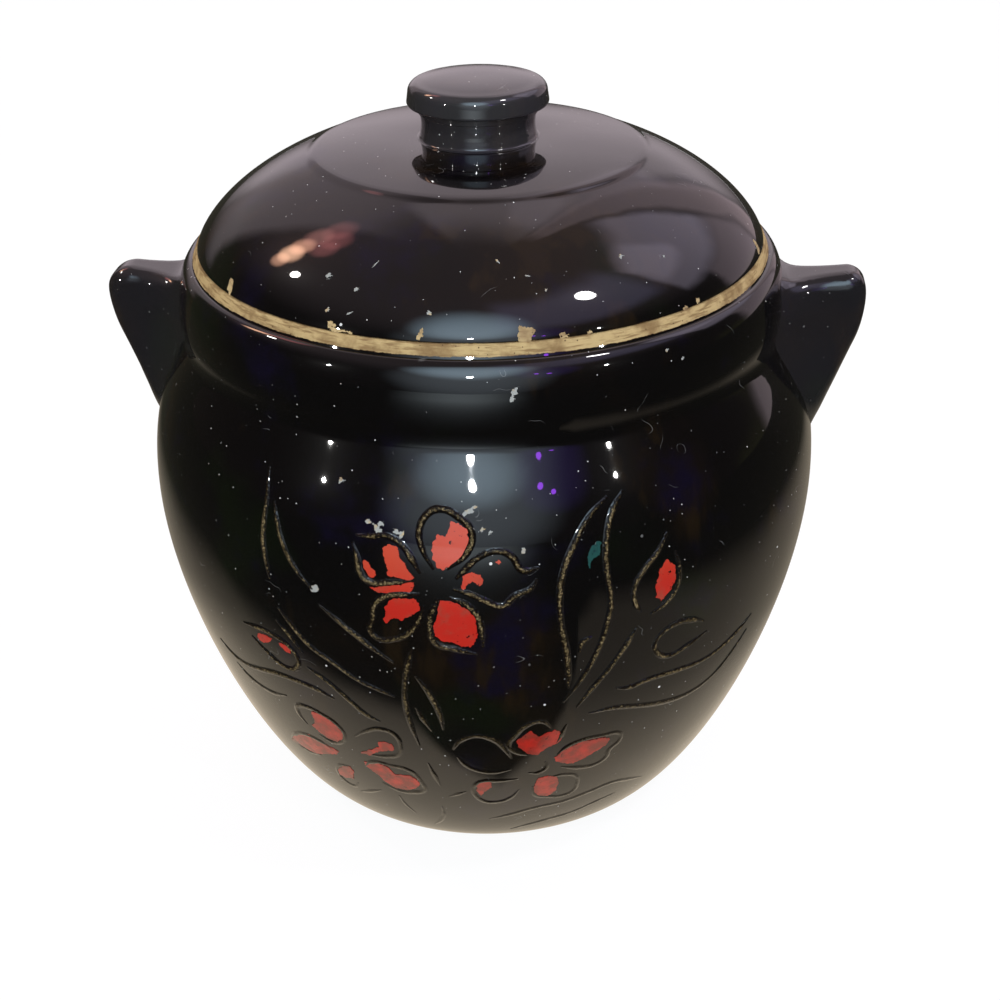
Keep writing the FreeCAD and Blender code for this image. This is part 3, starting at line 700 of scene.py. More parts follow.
def vector_maths(tree, operation, output, *inputs):
    """Result of a node of vector maths, as a Vector or as a Value."""
    made = add_node(tree, "ShaderNodeVectorMath", dict(enumerate(inputs)), operation=operation)
    return made.outputs[output]


def apart(tree, vector):
    """The X, Y and Z of a vector."""
    return add_node(tree, "ShaderNodeSeparateXYZ", {0: vector}).outputs


def spread(tree, value, low, high, to_low=0.0, to_high=1.0):
    """Smooth change from to_low to to_high as a value goes from low to high."""
    made = add_node(
        tree,
        "ShaderNodeMapRange",
        {"Value": value, "From Min": low, "From Max": high, "To Min": to_low, "To Max": to_high},
        interpolation_type="SMOOTHSTEP",
    )
    return made.outputs["Result"]


def noise_at(tree, where, size, detail=2.0, roughness=0.5):
    """Noise whose lumps are about one size across, in millimetres."""
    made = add_node(
        tree,
        "ShaderNodeTexNoise",
        {"Vector": where, "Scale": 1 / (size * MM), "Detail": detail, "Roughness": roughness},
    )
    return made.outputs["Fac"]


def mixed(tree, share, first, second):
    """Colour between two colours."""
    made = add_node(tree, "ShaderNodeMix", {0: share}, data_type="RGBA")
    for index, value in ((6, first), (7, second)):
        if isinstance(value, bpy.types.NodeSocket):
            tree.links.new(value, made.inputs[index])
        else:
            made.inputs[index].default_value = (*value, 1)
    return made.outputs[2]


def mixed_shader(tree, share, first, second):
    return add_node(tree, "ShaderNodeMixShader", {0: share, 1: first.outputs[0], 2: second.outputs[0]})


def dots(tree, where, spacing, size, share):
    """Scattered round dots, in millimetres: one at most per cell, in a share of the cells."""
    cells = add_node(
        tree, "ShaderNodeTexVoronoi", {"Vector": where, "Scale": 1 / (spacing * MM), "Randomness": 1.0}
    )
    lot = add_node(tree, "ShaderNodeSeparateColor", {0: cells.outputs["Color"]})
    chosen = maths(tree, "GREATER_THAN", lot.outputs[0], 1 - share)
    radius = spread(tree, lot.outputs[1], 0.0, 1.0, 0.3 * size / spacing, size / spacing)
    edge = maths(tree, "SUBTRACT", radius, cells.outputs["Distance"])
    return product(tree, chosen, spread(tree, edge, 0.0, 0.08 * size / spacing))


def bumped(tree, height, strength=1.0, distance=1.0):
    """Normal bent by a height, over a distance in millimetres."""
    made = add_node(
        tree, "ShaderNodeBump", {"Strength": strength, "Distance": distance * MM, "Height": height}
    )
    return made.outputs["Normal"]


def new_material(name):
    """Empty material with a Principled shader and a socket with the place on the object."""
    material = bpy.data.materials.new(name)
    material.use_nodes = True
    tree = material.node_tree
    shader = tree.nodes["Principled BSDF"]
    where = add_node(tree, "ShaderNodeTexCoord").outputs["Object"]
    return material, tree, shader, where


def plug(tree, shader, links):
    """Links sockets to the inputs of a shader by name."""
    for name, socket in links.items():
        tree.links.new(socket, shader.inputs[name])


def stretched(tree, where, factors):
    """Coordinates pressed together or pulled apart along the axes."""
    return vector_maths(tree, "MULTIPLY", "Vector", where, factors)


def glaze_tone(tree, where, looks):
    """Colour of the glaze, which drifts between black, brown, green and violet, with fine scratches."""
    drift = noise_at(tree, where, DRIFT, 3.0)
    cloud = noise_at(tree, where, CLOUD, 4.0, 0.6)
    pool = noise_at(tree, where, POOL, 2.0)
    brown = mixed(tree, spread(tree, drift, 0.50, 0.68), looks.glaze, looks.glaze_brown)
    green = mixed(tree, spread(tree, pool, 0.54, 0.70), brown, looks.glaze_green)
    violet = mixed(tree, spread(tree, cloud, 0.52, 0.72), green, looks.glaze_blue)
    runs = noise_at(tree, stretched(tree, where, (1, 1, 0.22)), RUN, 3.0, 0.6)
    ran = mixed(tree, spread(tree, product(tree, runs, drift), 0.30, 0.40, 0.0, 0.75), violet, RUN_BROWN)
    curl = maths(tree, "ABSOLUTE", maths(tree, "SUBTRACT", noise_at(tree, where, HAIR, 1.0), 0.5))
    worn = spread(tree, noise_at(tree, where, WORN_SPOT, 2.0), 0.65, 0.70, 0.0, 0.16)
    hair = product(tree, spread(tree, curl, 0.0, 0.007, 1.0, 0.0), worn)
    return mixed(tree, hair, ran, looks.dust)


def glaze_bump(tree, where, extra=None):
    """Slow waves and orange peel of a poured glaze."""
    waves = product(tree, noise_at(tree, where, WAVE, 1.0), WAVE_HEIGHT)
    peel = product(tree, noise_at(tree, where, PEEL, 2.0), PEEL_HEIGHT)
    height = maths(tree, "ADD", waves, peel)
    if extra is not None:
        height = maths(tree, "ADD", height, extra)
    return bumped(tree, height)


def set_gloss(shader):
    """Sockets of a hard clear glaze over a slightly dull ground."""
    shader.inputs["IOR"].default_value = GLAZE_IOR
    shader.inputs["Specular IOR Level"].default_value = 0.02
    shader.inputs["Roughness"].default_value = GROUND_ROUGHNESS
    shader.inputs["Coat Weight"].default_value = 1.0
    shader.inputs["Coat Roughness"].default_value = 0.025
    shader.inputs["Coat IOR"].default_value = GLAZE_IOR


def speck_pattern(tree, where):
    """Fine and coarse specks, denser in some fields than in others."""
    fine = dots(tree, where, *FINE_SPECKS)
    coarse = dots(tree, where, *COARSE_SPECKS)
    patchy = spread(tree, noise_at(tree, where, SPECK_FIELD, 2.0), 0.42, 0.56, 0.15, 1.0)
    return product(tree, maths(tree, "MAXIMUM", fine, coarse), patchy)


def speckled_tone(tree, where, looks, specks, film=0.0):
    """Glaze with dust specks under a film of handling."""
    return mixed(tree, specks, mixed(tree, film, glaze_tone(tree, where, looks), FILM), looks.dust)


def make_glaze(name, looks, film):
    """Dark glaze all over, with raised dust specks and a film of handling."""
    material, tree, shader, where = new_material(name)
    set_gloss(shader)
    specks = speck_pattern(tree, where)
    plug(tree, shader, {
        "Base Color": speckled_tone(tree, where, looks, specks, film),
        "Normal": glaze_bump(tree, where, product(tree, specks, SPECK_HEIGHT)),
        "Coat Normal": glaze_bump(tree, where),
    })
    return material


def make_edged_glaze(name, looks, edge_height, clay_above):
    """Dark glaze that thins to brown along a ragged edge, with bare clay above or below it."""
    material, tree, shader, where = new_material(name)
    set_gloss(shader)
    tone = speckled_tone(tree, where, looks, speck_pattern(tree, where))
    slow = swing(tree, noise_at(tree, where, 4, 3.0), 0.55 * MM)
    quick = swing(tree, noise_at(tree, where, 0.9, 2.0), 0.45 * MM)
    level = maths(tree, "ADD", apart(tree, where)["Z"], maths(tree, "ADD", slow, quick))
    to_clay = (0.0, 1.0) if clay_above else (1.0, 0.0)
    thin_band = (-0.25 * MM, 0) if clay_above else (0, 0.3 * MM)
    bare = spread(tree, level, edge_height - 0.04 * MM, edge_height + 0.04 * MM, *to_clay)
    thin = spread(tree, level, *(edge_height + end for end in thin_band), *to_clay)
    edge = mixed(tree, product(tree, thin, 0.6), tone, THIN_BROWN)
    grain = product(tree, noise_at(tree, where, 0.5, 3.0), 0.12)
    rough = product(tree, bare, maths(tree, "SUBTRACT", grain, 0.2))
    plug(tree, shader, {
        "Base Color": mixed(tree, bare, edge, clay_tone(tree, where, looks)),
        "Roughness": spread(tree, bare, 0.0, 1.0, GROUND_ROUGHNESS, 0.85),
        "Coat Weight": spread(tree, bare, 0.0, 1.0, 1.0, 0.0),
        "Normal": glaze_bump(tree, where, rough),
        "Coat Normal": glaze_bump(tree, where),
    })
    return material


def clay_tone(tree, where, looks):
    """Bare clay with stains, level streaks and dark grit."""
    stain = noise_at(tree, where, STAIN, 4.0, 0.65)
    tone = mixed(tree, spread(tree, stain, 0.42, 0.72), looks.clay, looks.clay_dark)
    streaks = noise_at(tree, stretched(tree, where, (1, 1, 9)), STREAK, 4.0, 0.6)
    tone = mixed(tree, spread(tree, streaks, 0.47, 0.64, 0.0, 0.9), tone, looks.clay_dark)
    return mixed(tree, product(tree, dots(tree, where, *GRIT), 0.8), tone, GRIT_BROWN)


def make_slip(name, looks):
    """Glaze that breaks to granular clay along the crest of a trailed line, less so near the foot."""
    material, tree, shader, where = new_material(name)
    set_gloss(shader)
    crest = add_node(tree, "ShaderNodeAttribute", attribute_name="crest").outputs["Fac"]
    broken = swing(tree, noise_at(tree, where, 0.75, 3.0, 0.65), 2.4)
    patchy = swing(tree, noise_at(tree, where, 9, 2.0), 0.6)
    level = maths(tree, "ADD", crest, maths(tree, "ADD", broken, patchy))
    covered = spread(tree, apart(tree, where)["Z"], 55 * MM, 85 * MM, 0.15, 1.0)
    bare = product(tree, spread(tree, level, 0.68, 0.84), covered)
    grains = spread(tree, noise_at(tree, where, 0.45, 2.0, 0.6), 0.47, 0.60)
    grain = mixed(tree, grains, looks.slip, looks.slip_pale)
    pits = spread(tree, noise_at(tree, where, 0.6, 1.0), 0.53, 0.58)
    pitted = mixed(tree, product(tree, pits, 0.8), grain, looks.glaze_brown)
    near = spread(tree, level, 0.15, 0.5)
    edge = mixed(tree, near, glaze_tone(tree, where, looks), looks.glaze_brown)
    dull = product(tree, spread(tree, level, 0.1, 0.4), covered)
    rough = product(tree, noise_at(tree, where, 0.6, 2.0), 0.2)
    plug(tree, shader, {
        "Base Color": mixed(tree, bare, edge, pitted),
        "Roughness": spread(tree, bare, 0.0, 1.0, GROUND_ROUGHNESS, 0.7),
        "Coat Weight": spread(tree, dull, 0.0, 1.0, 1.0, 0.2),
        "Normal": glaze_bump(tree, where, rough),
        "Coat Normal": glaze_bump(tree, where, product(tree, rough, dull)),
    })
    return material


def make_paint(name, looks, full, worn, painted_sheen=None):
    """Opaque paint with dark nicks and a soft gloss, darkened near the foot by painted shade in
    rubbed-looking patches, and made lighter high up by a painted sheen.
    """
    material, tree, shader, where = new_material(name)
    shader.inputs["IOR"].default_value = GLAZE_IOR
    shader.inputs["Specular IOR Level"].default_value = 0.05
    shader.inputs["Coat Weight"].default_value = 1.0
    shader.inputs["Coat Roughness"].default_value = 0.06
    wear = noise_at(tree, where, 4, 4.0, 0.6)
    tone = mixed(tree, spread(tree, wear, 0.48, 0.70), full, worn)
    height = apart(tree, where)["Z"]
    # Painted shade: the paint darkens towards the foot, in patches that follow the wear noise
    low = spread(tree, height, 50 * MM, 90 * MM, 1.0, 0.0)
    rubbed = product(tree, low, spread(tree, wear, 0.3, 0.6))
    tone = mixed(tree, product(tree, rubbed, 0.55), tone, SHADED_RUBBED_RED)
    # Painted sheen: the paint turns lighter and more orange high up
    if painted_sheen:
        tone = mixed(tree, spread(tree, height, 108 * MM, 126 * MM, 0.0, 0.85), tone, painted_sheen)
    nicks = spread(tree, noise_at(tree, where, 1.6, 4.0, 0.7), 0.645, 0.67)
    lumps = product(tree, noise_at(tree, where, 1.2, 3.0), 0.06)
    plug(tree, shader, {
        "Base Color": mixed(tree, nicks, tone, looks.glaze),
        "Roughness": spread(tree, wear, 0.3, 0.7, 0.4, 0.6),
        "Normal": glaze_bump(tree, where, lumps),
    })
    return material


def make_clay(name, looks, tone=None):
    """Rough bare clay of a chip, or the pale stuff of a crumb."""
    material, tree, shader, where = new_material(name)
    shader.inputs["Roughness"].default_value = 0.9
    ground = clay_tone(tree, where, looks)
    if tone is not None:
        ground = mixed(tree, spread(tree, noise_at(tree, where, 1.6, 3.0), 0.5, 0.75), tone, ground)
    plug(tree, shader, {
        "Base Color": ground,
        "Normal": bumped(tree, noise_at(tree, where, 0.6, 3.0), 0.6, 0.2),
    })
    return material


def material_for(kind):
    """The named finish, made the first time it is asked for."""
    made = bpy.data.materials.get(kind)
    if made:
        return made
    scene = bpy.context.scene
    looks = scene.jar_finishes
    rim = rim_height(scene.jar_sizes)
    jar_edge = rim - scene.jar_sizes.bare_edge + JAR_BARE_SHIFT * MM
    lid_edge = rim + LID_BARE_SHIFT * MM
    makers = {
        "glaze_knob": lambda: make_glaze(kind, looks, KNOB_FILM),
        "glaze_lug": lambda: make_glaze(kind, looks, LUG_FILM),
        "glaze_jar": lambda: make_edged_glaze(kind, looks, jar_edge, clay_above=True),
        "glaze_lid": lambda: make_edged_glaze(kind, looks, lid_edge, clay_above=False),
        "slip_crest": lambda: make_slip(kind, looks),
        "paint_red": lambda: make_paint(kind, looks, looks.red, looks.red_worn, SHEEN_RED),
        "paint_green": lambda: make_paint(kind, looks, looks.green, looks.glaze_blue),
        "chipped_clay": lambda: make_clay(kind, looks),
        "pale_crumb": lambda: make_clay(kind, looks, looks.crumb),
    }
    return makers[kind]()


class MESH_OT_jar_wall(bpy.types.Operator):
    """Turn the jar's wall with its collar, bare rim edge, inside and foot ring"""

    bl_idname = "mesh.jar_wall"
    bl_label = "Jar wall"

    def execute(self, context):
        jar = context.scene.jar_sizes
        rim = rim_height(jar)
        ring = jar.foot_radius - jar.foot_ring
        inside = side_points(jar, jar.wall, jar.floor, 24)
        bottom = softened(
            [at(0, jar.foot_recess), at(ring - 2 * MM, jar.foot_recess), at(ring, 0), at(jar.foot_radius, 0),
             outer_points(jar)[2]],
            [0.8 * MM, 0.8 * MM, 1.2 * MM],
        )
        mouth = softened(
            [at(jar.rim_radius, rim - jar.bare_edge), at(jar.rim_radius - jar.bare_lean, rim),
             at(jar.mouth_radius, rim), at(jar.mouth_radius, rim - jar.mouth_depth), inside[-1]],
            [0.35 * MM, 1.5 * MM, 3 * MM],
        )
        points = bottom + outer_points(jar)[3:-1] + mouth + inside[-2::-1] + [at(0, jar.floor)]
        wall = turned("jar_wall", points, jar.segments)
        settle(wall, "jar", "black_glaze", material_for("glaze_jar"), "jar_body")
        return {"FINISHED"}


class MESH_OT_jar_lid(bpy.types.Operator):
    """Turn the domed lid with its raised disc and its flange"""

    bl_idname = "mesh.jar_lid"
    bl_label = "Lid"

    def execute(self, context):
        jar = context.scene.jar_sizes
        lid = context.scene.lid_sizes
        rim = rim_height(jar)
        flange = jar.mouth_radius - lid.flange_play
        bore = flange - lid.flange_wall
        dome = dome_points(jar, lid)
        crown = dome[-1].z
        ceiling = interpolate_bezier(
            at(0, crown - lid.wall), at(lid.disc_radius, crown - lid.wall),
            at(bore, rim + lid.dome_height / 2), at(bore, rim), 24,
        )
        under = softened(
            [ceiling[-1], at(bore, rim - lid.flange_depth), at(flange, rim - lid.flange_depth),
             at(flange, rim), at(lid.radius, rim), dome[3]],
            [1.2 * MM, 1.2 * MM, 0.8 * MM, 0.45 * MM],
        )
        points = ceiling[:-1] + under + dome[4:] + [at(0, crown)]
        shell = turned("lid_shell", points, jar.segments)
        settle(shell, "lid", "black_glaze", material_for("glaze_lid"), "lid")
        return {"FINISHED"}


class MESH_OT_jar_knob(bpy.types.Operator):
    """Turn the disc knob on its short neck"""

    bl_idname = "mesh.jar_knob"
    bl_label = "Knob"

    def execute(self, context):
        jar = context.scene.jar_sizes
        lid = context.scene.lid_sizes
        seat = dome_points(jar, lid)[-1].z
        cap = seat + lid.neck_height
        top = cap + lid.knob_thickness
        peak = top + lid.knob_crown
        radius = lid.knob_radius
        edge = lid.knob_edge
        neck = lid.neck_radius - 0.2 * MM
        waist = neck - lid.neck_waist
        ledge = cap - 2.2 * MM
        ring = neck + 0.5 * MM
        sunk = at(neck + 1 * MM, seat - 1 * MM)
        weld = at(sunk.x, seat + 0.02 * MM)
        foot = at(neck, seat + 1.4 * MM)
        neck_top = at(neck, ledge - 0.4 * MM)
        low = at(radius, top - edge)
        high = at(radius - edge, top)
        corners = [
            neck_top, at(neck, ledge), at(ring, ledge), at(ring, cap), at(radius + 0.5 * MM, cap), low
        ]
        points = [at(0, sunk.z), sunk, weld]
        points += bend(weld, at(neck + 0.4 * MM, seat + 0.1 * MM), foot - at(0, 0.8 * MM), foot, 8)
        points += bend(foot, at(waist, foot.z + 2.2 * MM), at(waist, neck_top.z - 2.2 * MM), neck_top, 12)
        points += softened(corners, [0.2 * MM, 0.2 * MM, 0.7 * MM, 0.9 * MM])[1:]
        points += bend(low, low + at(0, 0.55 * edge), high + at(0.55 * edge, 0), high, 10)
        points += bend(high, at(radius * 0.6, peak), at(5 * MM, peak), at(0, peak), 10)
        knob = turned("knob_disc", points, jar.segments // 2)
        settle(knob, "lid", "black_glaze", material_for("glaze_knob"), "lid_knob")
        return {"FINISHED"}


def lug_slab(jar, lug, skin, left):
    """Flat ear of even thickness with a rounded rim, cut into small cells."""
    rim = rim_height(jar)
    low = rim - lug.height
    top = at(jar.belly_radius + lug.top_reach, rim - lug.top_drop)
    corner = at(jar.belly_radius + lug.reach, rim - lug.corner_drop)
    heights = [rim - lug.root_drop, *(rim - step * MM for step in LUG_STEPS), low]
    root = [at(skin.radius_at(height) - lug.sink, height) for height in heights]
    bm = bmesh.new()
    verts = [bm.verts.new(p) for p in (root[0], top, corner, *root[:0:-1])]
    bm.faces.new(verts)
    for point, size in ((top, lug.left_round if left else lug.top_round), (corner, lug.corner_round)):
        near = [v for v in bm.verts if (v.co - point).length < 0.01 * MM]
        bmesh.ops.bevel(bm, geom=near, offset=size, affect="VERTICES", segments=12, profile=0.5, material=-1)
    bmesh.ops.translate(bm, vec=(0, -lug.thickness / 2, 0), verts=bm.verts)
    back = bmesh.ops.extrude_face_region(bm, geom=bm.faces[:])["geom"]
    bmesh.ops.translate(bm, vec=(0, lug.thickness, 0), verts=only_verts(back))
    bmesh.ops.recalc_face_normals(bm, faces=bm.faces)

    def at_root(v):
        return any(math.hypot(v.co.x - p.x, v.co.z - p.z) < 0.01 * MM for p in root)

    flanks = [
        e for e in bm.edges
        if abs(e.verts[0].co.y - e.verts[1].co.y) < 0.01 * MM and not all(at_root(v) for v in e.verts)
    ]
    bmesh.ops.bevel(bm, geom=flanks, offset=lug.edge, affect="EDGES", segments=8, profile=0.5, material=-1)
    flat = lug.thickness / 2 - lug.edge
    cuts = [(Vector((0, 1, 0)), flat * share) for share in (-0.75, -0.5, -0.25, 0, 0.25, 0.5, 0.75)]
    for axis, first, last in ((Vector((1, 0, 0)), root[0].x, corner.x), (Vector((0, 0, 1)), low, top.z)):
        count = int((last - first) / (LUG_CELL * MM))
        cuts += [(axis, first + i * LUG_CELL * MM) for i in range(1, count + 1)]
    for axis, place in cuts:
        cut_through(bm, axis * place, axis, 0.02 * MM)
    bmesh.ops.remove_doubles(bm, verts=bm.verts, dist=0.02 * MM)
    return bm


def move_to_left(bm, lug, skin):
    """Mirrors a lug to the left, a little lower, shorter and turned to the front."""
    bmesh.ops.scale(bm, vec=(-1, 1, 1), verts=bm.verts)
    bmesh.ops.translate(bm, vec=(0, 0, -lug.left_drop), verts=bm.verts)
    for v in bm.verts:
        out = -v.co.x - skin.radius_at(v.co.z)
        v.co.x += lug.left_back * max(0.0, min(1.0, out / (LEFT_BACK_FROM * MM)))
    bmesh.ops.rotate(bm, cent=(0, 0, 0), matrix=Matrix.Rotation(lug.left_turn, 3, "Z"), verts=bm.verts)


def lug_mesh(name, jar, lug, left):
    """Solid ear luted to the jar: its flanks and its top sweep out to a broad root."""
    skin = Skin(outer_points(jar))
    bm = lug_slab(jar, lug, skin, left)
    half = lug.thickness / 2
    flat = half - lug.edge
    top = rim_height(jar) - lug.root_drop
    lump_size, lump_height = (size * MM for size in LUG_LUMP)
    bm.normal_update()
    moves = []
    for v in bm.verts:
        out = max(v.co.x - skin.radius_at(v.co.z), -1 * MM)
        width = between(LUG_ROOT, v.co.z) * (LEFT_BROADER if left else 1)
        share = max(0.0, 1 - out / between(LUG_SWEEP, v.co.z)) ** 3
        front = 1 if v.co.y < 0 else BACK_SHARE
        middle = min(1.0, abs(v.co.y) / flat)
        across = v.co.y + math.copysign((width - half) * share * front * middle, v.co.y)
        near_top = max(0.0, min(1.0, (v.co.z - top) / (LIFT_DOWN * MM) + 1))
        up = v.co.z + lug.lift * near_top**2 * max(0.0, 1 - out / (LIFT_OUT * MM)) ** 3
        lump = v.normal * noise.noise(v.co / lump_size) * lump_height
        moves.append(Vector((math.sqrt(v.co.x**2 - across**2), across, up)) + lump)
    for v, place in zip(bm.verts, moves):
        v.co = place
    if left:
        move_to_left(bm, lug, skin)
    return finish_mesh(bm, name)


class MESH_OT_jar_lugs(bpy.types.Operator):
    """Shape the two solid lug handles"""

    bl_idname = "mesh.jar_lugs"
    bl_label = "Lug handles"

    def execute(self, context):
        jar = context.scene.jar_sizes
        lug = context.scene.lug_sizes
        for name, left, node in (("lug_right", False, "right_handle"), ("lug_left", True, "left_handle")):
            piece = lug_mesh(name, jar, lug, left)
            settle(piece, "jar", "black_glaze", material_for("glaze_lug"), node)
        return {"FINISHED"}


def rolled(skin, flat):
    """Point of the flat sheet, bent onto the jar's skin."""
    return skin.place(flat.x / (SHEET_RADIUS * MM), skin.walked_at(flat.y), flat.z)


def line_section(slip):
    """Cross-section of a trailed line, with soft feet, as a curve for bevelling."""
    curve = bpy.data.curves.new("line_section", "CURVE")
    curve.dimensions = "2D"
    spline = curve.splines.new("POLY")
    half = slip.width / 2
    shares = [i / 6 - 1 for i in range(13)]
    shape = [(share * half, slip.height * math.cos(share * math.pi / 2) ** 1.6) for share in shares]
    shape += [(half, -slip.sunk), (-half, -slip.sunk)]
    spline.points.add(len(shape) - 1)
    for point, (across, up) in zip(spline.points, shape):
        point.co = (across, up, 0, 1)
    spline.use_cyclic_u = True
    section = bpy.data.objects.new("line_section", curve)
    bpy.context.scene.collection.objects.link(section)
    return section


def swept_lines(name, routes, section, slip):
    """Lines swept flat along their routes on the sheet, uneven in width and thin at both ends."""
    curve = bpy.data.curves.new(name, "CURVE")
    curve.dimensions = "3D"
    curve.twist_mode = "Z_UP"
    curve.bevel_mode = "OBJECT"
    curve.bevel_object = section
    curve.use_fill_caps = True
    for route in routes:
        spline = curve.splines.new("BEZIER")
        spline.resolution_u = 9
        spline.bezier_points.add(len(route) - 1)
        for i, (point, (across, up)) in enumerate(zip(spline.bezier_points, route)):
            point.co = (across * MM, up * MM, 0)
            point.handle_left_type = "AUTO"
            point.handle_right_type = "AUTO"
            uneven = 0.9 + 0.25 * noise.noise(Vector((across, up, 3)) * 0.13)
            point.radius = slip.tip if i in (0, len(route) - 1) else uneven
    flat = bpy.data.objects.new(name, curve)
    bpy.context.scene.collection.objects.link(flat)
    bpy.context.view_layer.update()
    swept = bpy.data.meshes.new_from_object(flat.evaluated_get(bpy.context.evaluated_depsgraph_get()))
    bm = bmesh.new()
    bm.from_mesh(swept)
    bpy.data.objects.remove(flat)
    bpy.data.meshes.remove(swept)
    return bm


def trail_piece(name, routes, section, skin, slip):
    """Trailed lines of one motif, with a lumpy crest, rolled onto the jar and lower near the foot."""
    bm = swept_lines(name, routes, section, slip)
    bmesh.ops.remove_doubles(bm, verts=bm.verts, dist=0.002 * MM)
    crest = bm.verts.layers.float.new("crest")
    lump_size, lump_height = (size * MM for size in CREST_LUMP)
    for v in bm.verts:
        v[crest] = v.co.z / slip.height
        if v.co.z > 0.2 * slip.height:
            v.co.z += noise.noise(v.co / lump_size) * lump_height
        if v.co.z > 0:
            v.co.z *= float(np.interp(v.co.y / MM, LOW_LINES, (slip.low_share, 1)))
    for v in bm.verts:
        v.co = rolled(skin, v.co)
    return finish_mesh(bm, name)


class MESH_OT_jar_trails(bpy.types.Operator):
    """Trail the slip lines of the flowers, buds, leaves and stems"""

    bl_idname = "mesh.jar_trails"
    bl_label = "Trailed lines"

    def execute(self, context):
        slip = context.scene.slip_sizes
        skin = Skin(outer_points(context.scene.jar_sizes))
        section = line_section(slip)
        for node, routes in TRAILS.items():
            piece = trail_piece("trail_" + node, routes, section, skin, slip)
            settle(piece, "jar", "slip_line", material_for("slip_crest"), node)
        bpy.data.objects.remove(section)
        return {"FINISHED"}


def ragged_outline(outline, step, depth):
    """The outline walked in short steps and frayed by noise."""
    run = []
    for start, end in zip(outline, outline[1:] + outline[:1]):
        start, end = Vector((*start, 0)), Vector((*end, 0))
        count = max(1, round((end - start).length / step))
        across = Vector((end.y - start.y, start.x - end.x, 0)).normalized()
        for i in range(count):
            point = start.lerp(end, i / count)
            fray = 0
            for often in (0.7, 2.2, 5):
                fray += noise.noise(point * often + Vector((0, 0, often))) / often**0.4
            run.append(point + across * fray * depth)
    return run


def patch_mesh(name, outlines, thickness, place, fray):
    """Thin closed patches, drawn flat in millimetres, cut into cells and laid on a skin."""
    bm = bmesh.new()
    for outline in outlines:
        bm.faces.new([bm.verts.new(p * MM) for p in ragged_outline(outline, FRAY_STEP, fray)])
    low = [min(v.co[k] for v in bm.verts) for k in (0, 1)]
    high = [max(v.co[k] for v in bm.verts) for k in (0, 1)]
    for k, axis in ((0, Vector((1, 0, 0))), (1, Vector((0, 1, 0)))):
        for i in range(1, int((high[k] - low[k]) / (PATCH_CELL * MM)) + 1):
            cut_through(bm, axis * (low[k] + i * PATCH_CELL * MM), axis, 0.001 * MM)
    bmesh.ops.translate(bm, vec=(0, 0, -PATCH_SINK * MM), verts=bm.verts)
    raised = bmesh.ops.extrude_face_region(bm, geom=bm.faces[:], use_keep_orig=True)["geom"]
    for v in only_verts(raised):
        v.co.z = thickness
    for v in bm.verts:
        v.co = place(v.co)
    return finish_mesh(bm, name)


class MESH_OT_jar_paint(bpy.types.Operator):
    """Lay the worn paint in the petals and leaves"""

    bl_idname = "mesh.jar_paint"
    bl_label = "Paint"

    def execute(self, context):
        slip = context.scene.slip_sizes
        skin = Skin(outer_points(context.scene.jar_sizes))
        on_sheet = partial(rolled, skin)
        for patches, kind, slot in (
            (RED_PATCHES, "paint_red", "red_paint"),
            (GREEN_PATCHES, "paint_green", "green_paint"),
        ):
            for motif, outlines in patches.items():
                piece = patch_mesh(f"{slot}_{motif}", outlines, slip.paint, on_sheet, PAINT_FRAY)
                settle(piece, "jar", slot, material_for(kind))
        return {"FINISHED"}


def oval(width, height, lean):
    """Leaning outline of a flake, an oval with dents, in millimetres."""
    turns = [2 * math.pi * i / 12 for i in range(12)]
    c, s = math.cos(math.radians(lean)), math.sin(math.radians(lean))
    sizes = [0.5 + 0.42 * noise.noise(Vector((3 * width, 2 * lean, 7 * height + 1.7 * t))) for t in turns]
    points = [(math.cos(t) * width * r, math.sin(t) * height * r) for t, r in zip(turns, sizes)]
    return [(x * c + y * s, y * c - x * s) for x, y in points]


def spots_on(name, spots, skin, thickness, fray):
    """Small patches at given places of a turned piece, joined into one mesh."""
    joined = bmesh.new()
    for degrees, height, width, tall, lean in spots:
        turn = math.radians(degrees)
        walked = skin.walked_at(height * MM)
        radius = skin.radius_at(height * MM)

        def on_skin(flat):
            return skin.place(turn + flat.x / radius, walked + flat.y, flat.z)

        depth = min(fray, 0.4 * min(width, tall))
        spot = patch_mesh(name, [oval(width, tall, lean)], thickness, on_skin, depth)
        joined.from_mesh(spot.data)
        bpy.data.objects.remove(spot)
    return finish_mesh(joined, name)


class MESH_OT_jar_flaws(bpy.types.Operator):
    """Lay the chips of bare clay and the pale crumbs on the glaze"""

    bl_idname = "mesh.jar_flaws"
    bl_label = "Chips and crumbs"

    def execute(self, context):
        jar = context.scene.jar_sizes
        dome = Skin(dome_points(jar, context.scene.lid_sizes))
        side = Skin(outer_points(jar))
        for name, spots, skin, body, kind in (
            ("lid_chips", LID_CHIPS, dome, "lid", "chipped_clay"),
            ("lid_crumbs", LID_CRUMBS, dome, "lid", "pale_crumb"),
            ("jar_crumbs", JAR_CRUMBS, side, "jar", "pale_crumb"),
        ):
            flakes = spots_on(name, spots, skin, FLAKE * MM, FLAKE_FRAY)
            settle(flakes, body, "bare_clay", material_for(kind))
        return {"FINISHED"}


# Edge of the table top that the jar reflects, as (x, y, width over which it fades), in millimetres
TABLE_EDGE = [
    (-250, 320, 160), (-260, 90, 160), (-230, -25, 130), (-155, -92, 70), (-84, -118, 28), (-37, -127, 18),
    (-6, -104, 10), (16, -90, 10), (42, -104, 12), (62, -118, 16), (84, -142, 24), (128, -205, 60),
    (180, -240, 100), (225, -180, 120), (245, -80, 140), (265, 40, 150), (280, 120, 150), (255, 320, 150),
]

# Radius of the white floor, and of the dark one round the table that only the glaze mirrors, in metres
FLOOR_REACH = 4
CARD_REACH = 4.5

# Light of the white floor, and how much of it the camera and the glaze see instead of the lit paper
FLOOR_LIGHT = 1.08
FLOOR_SHARE = 0.85

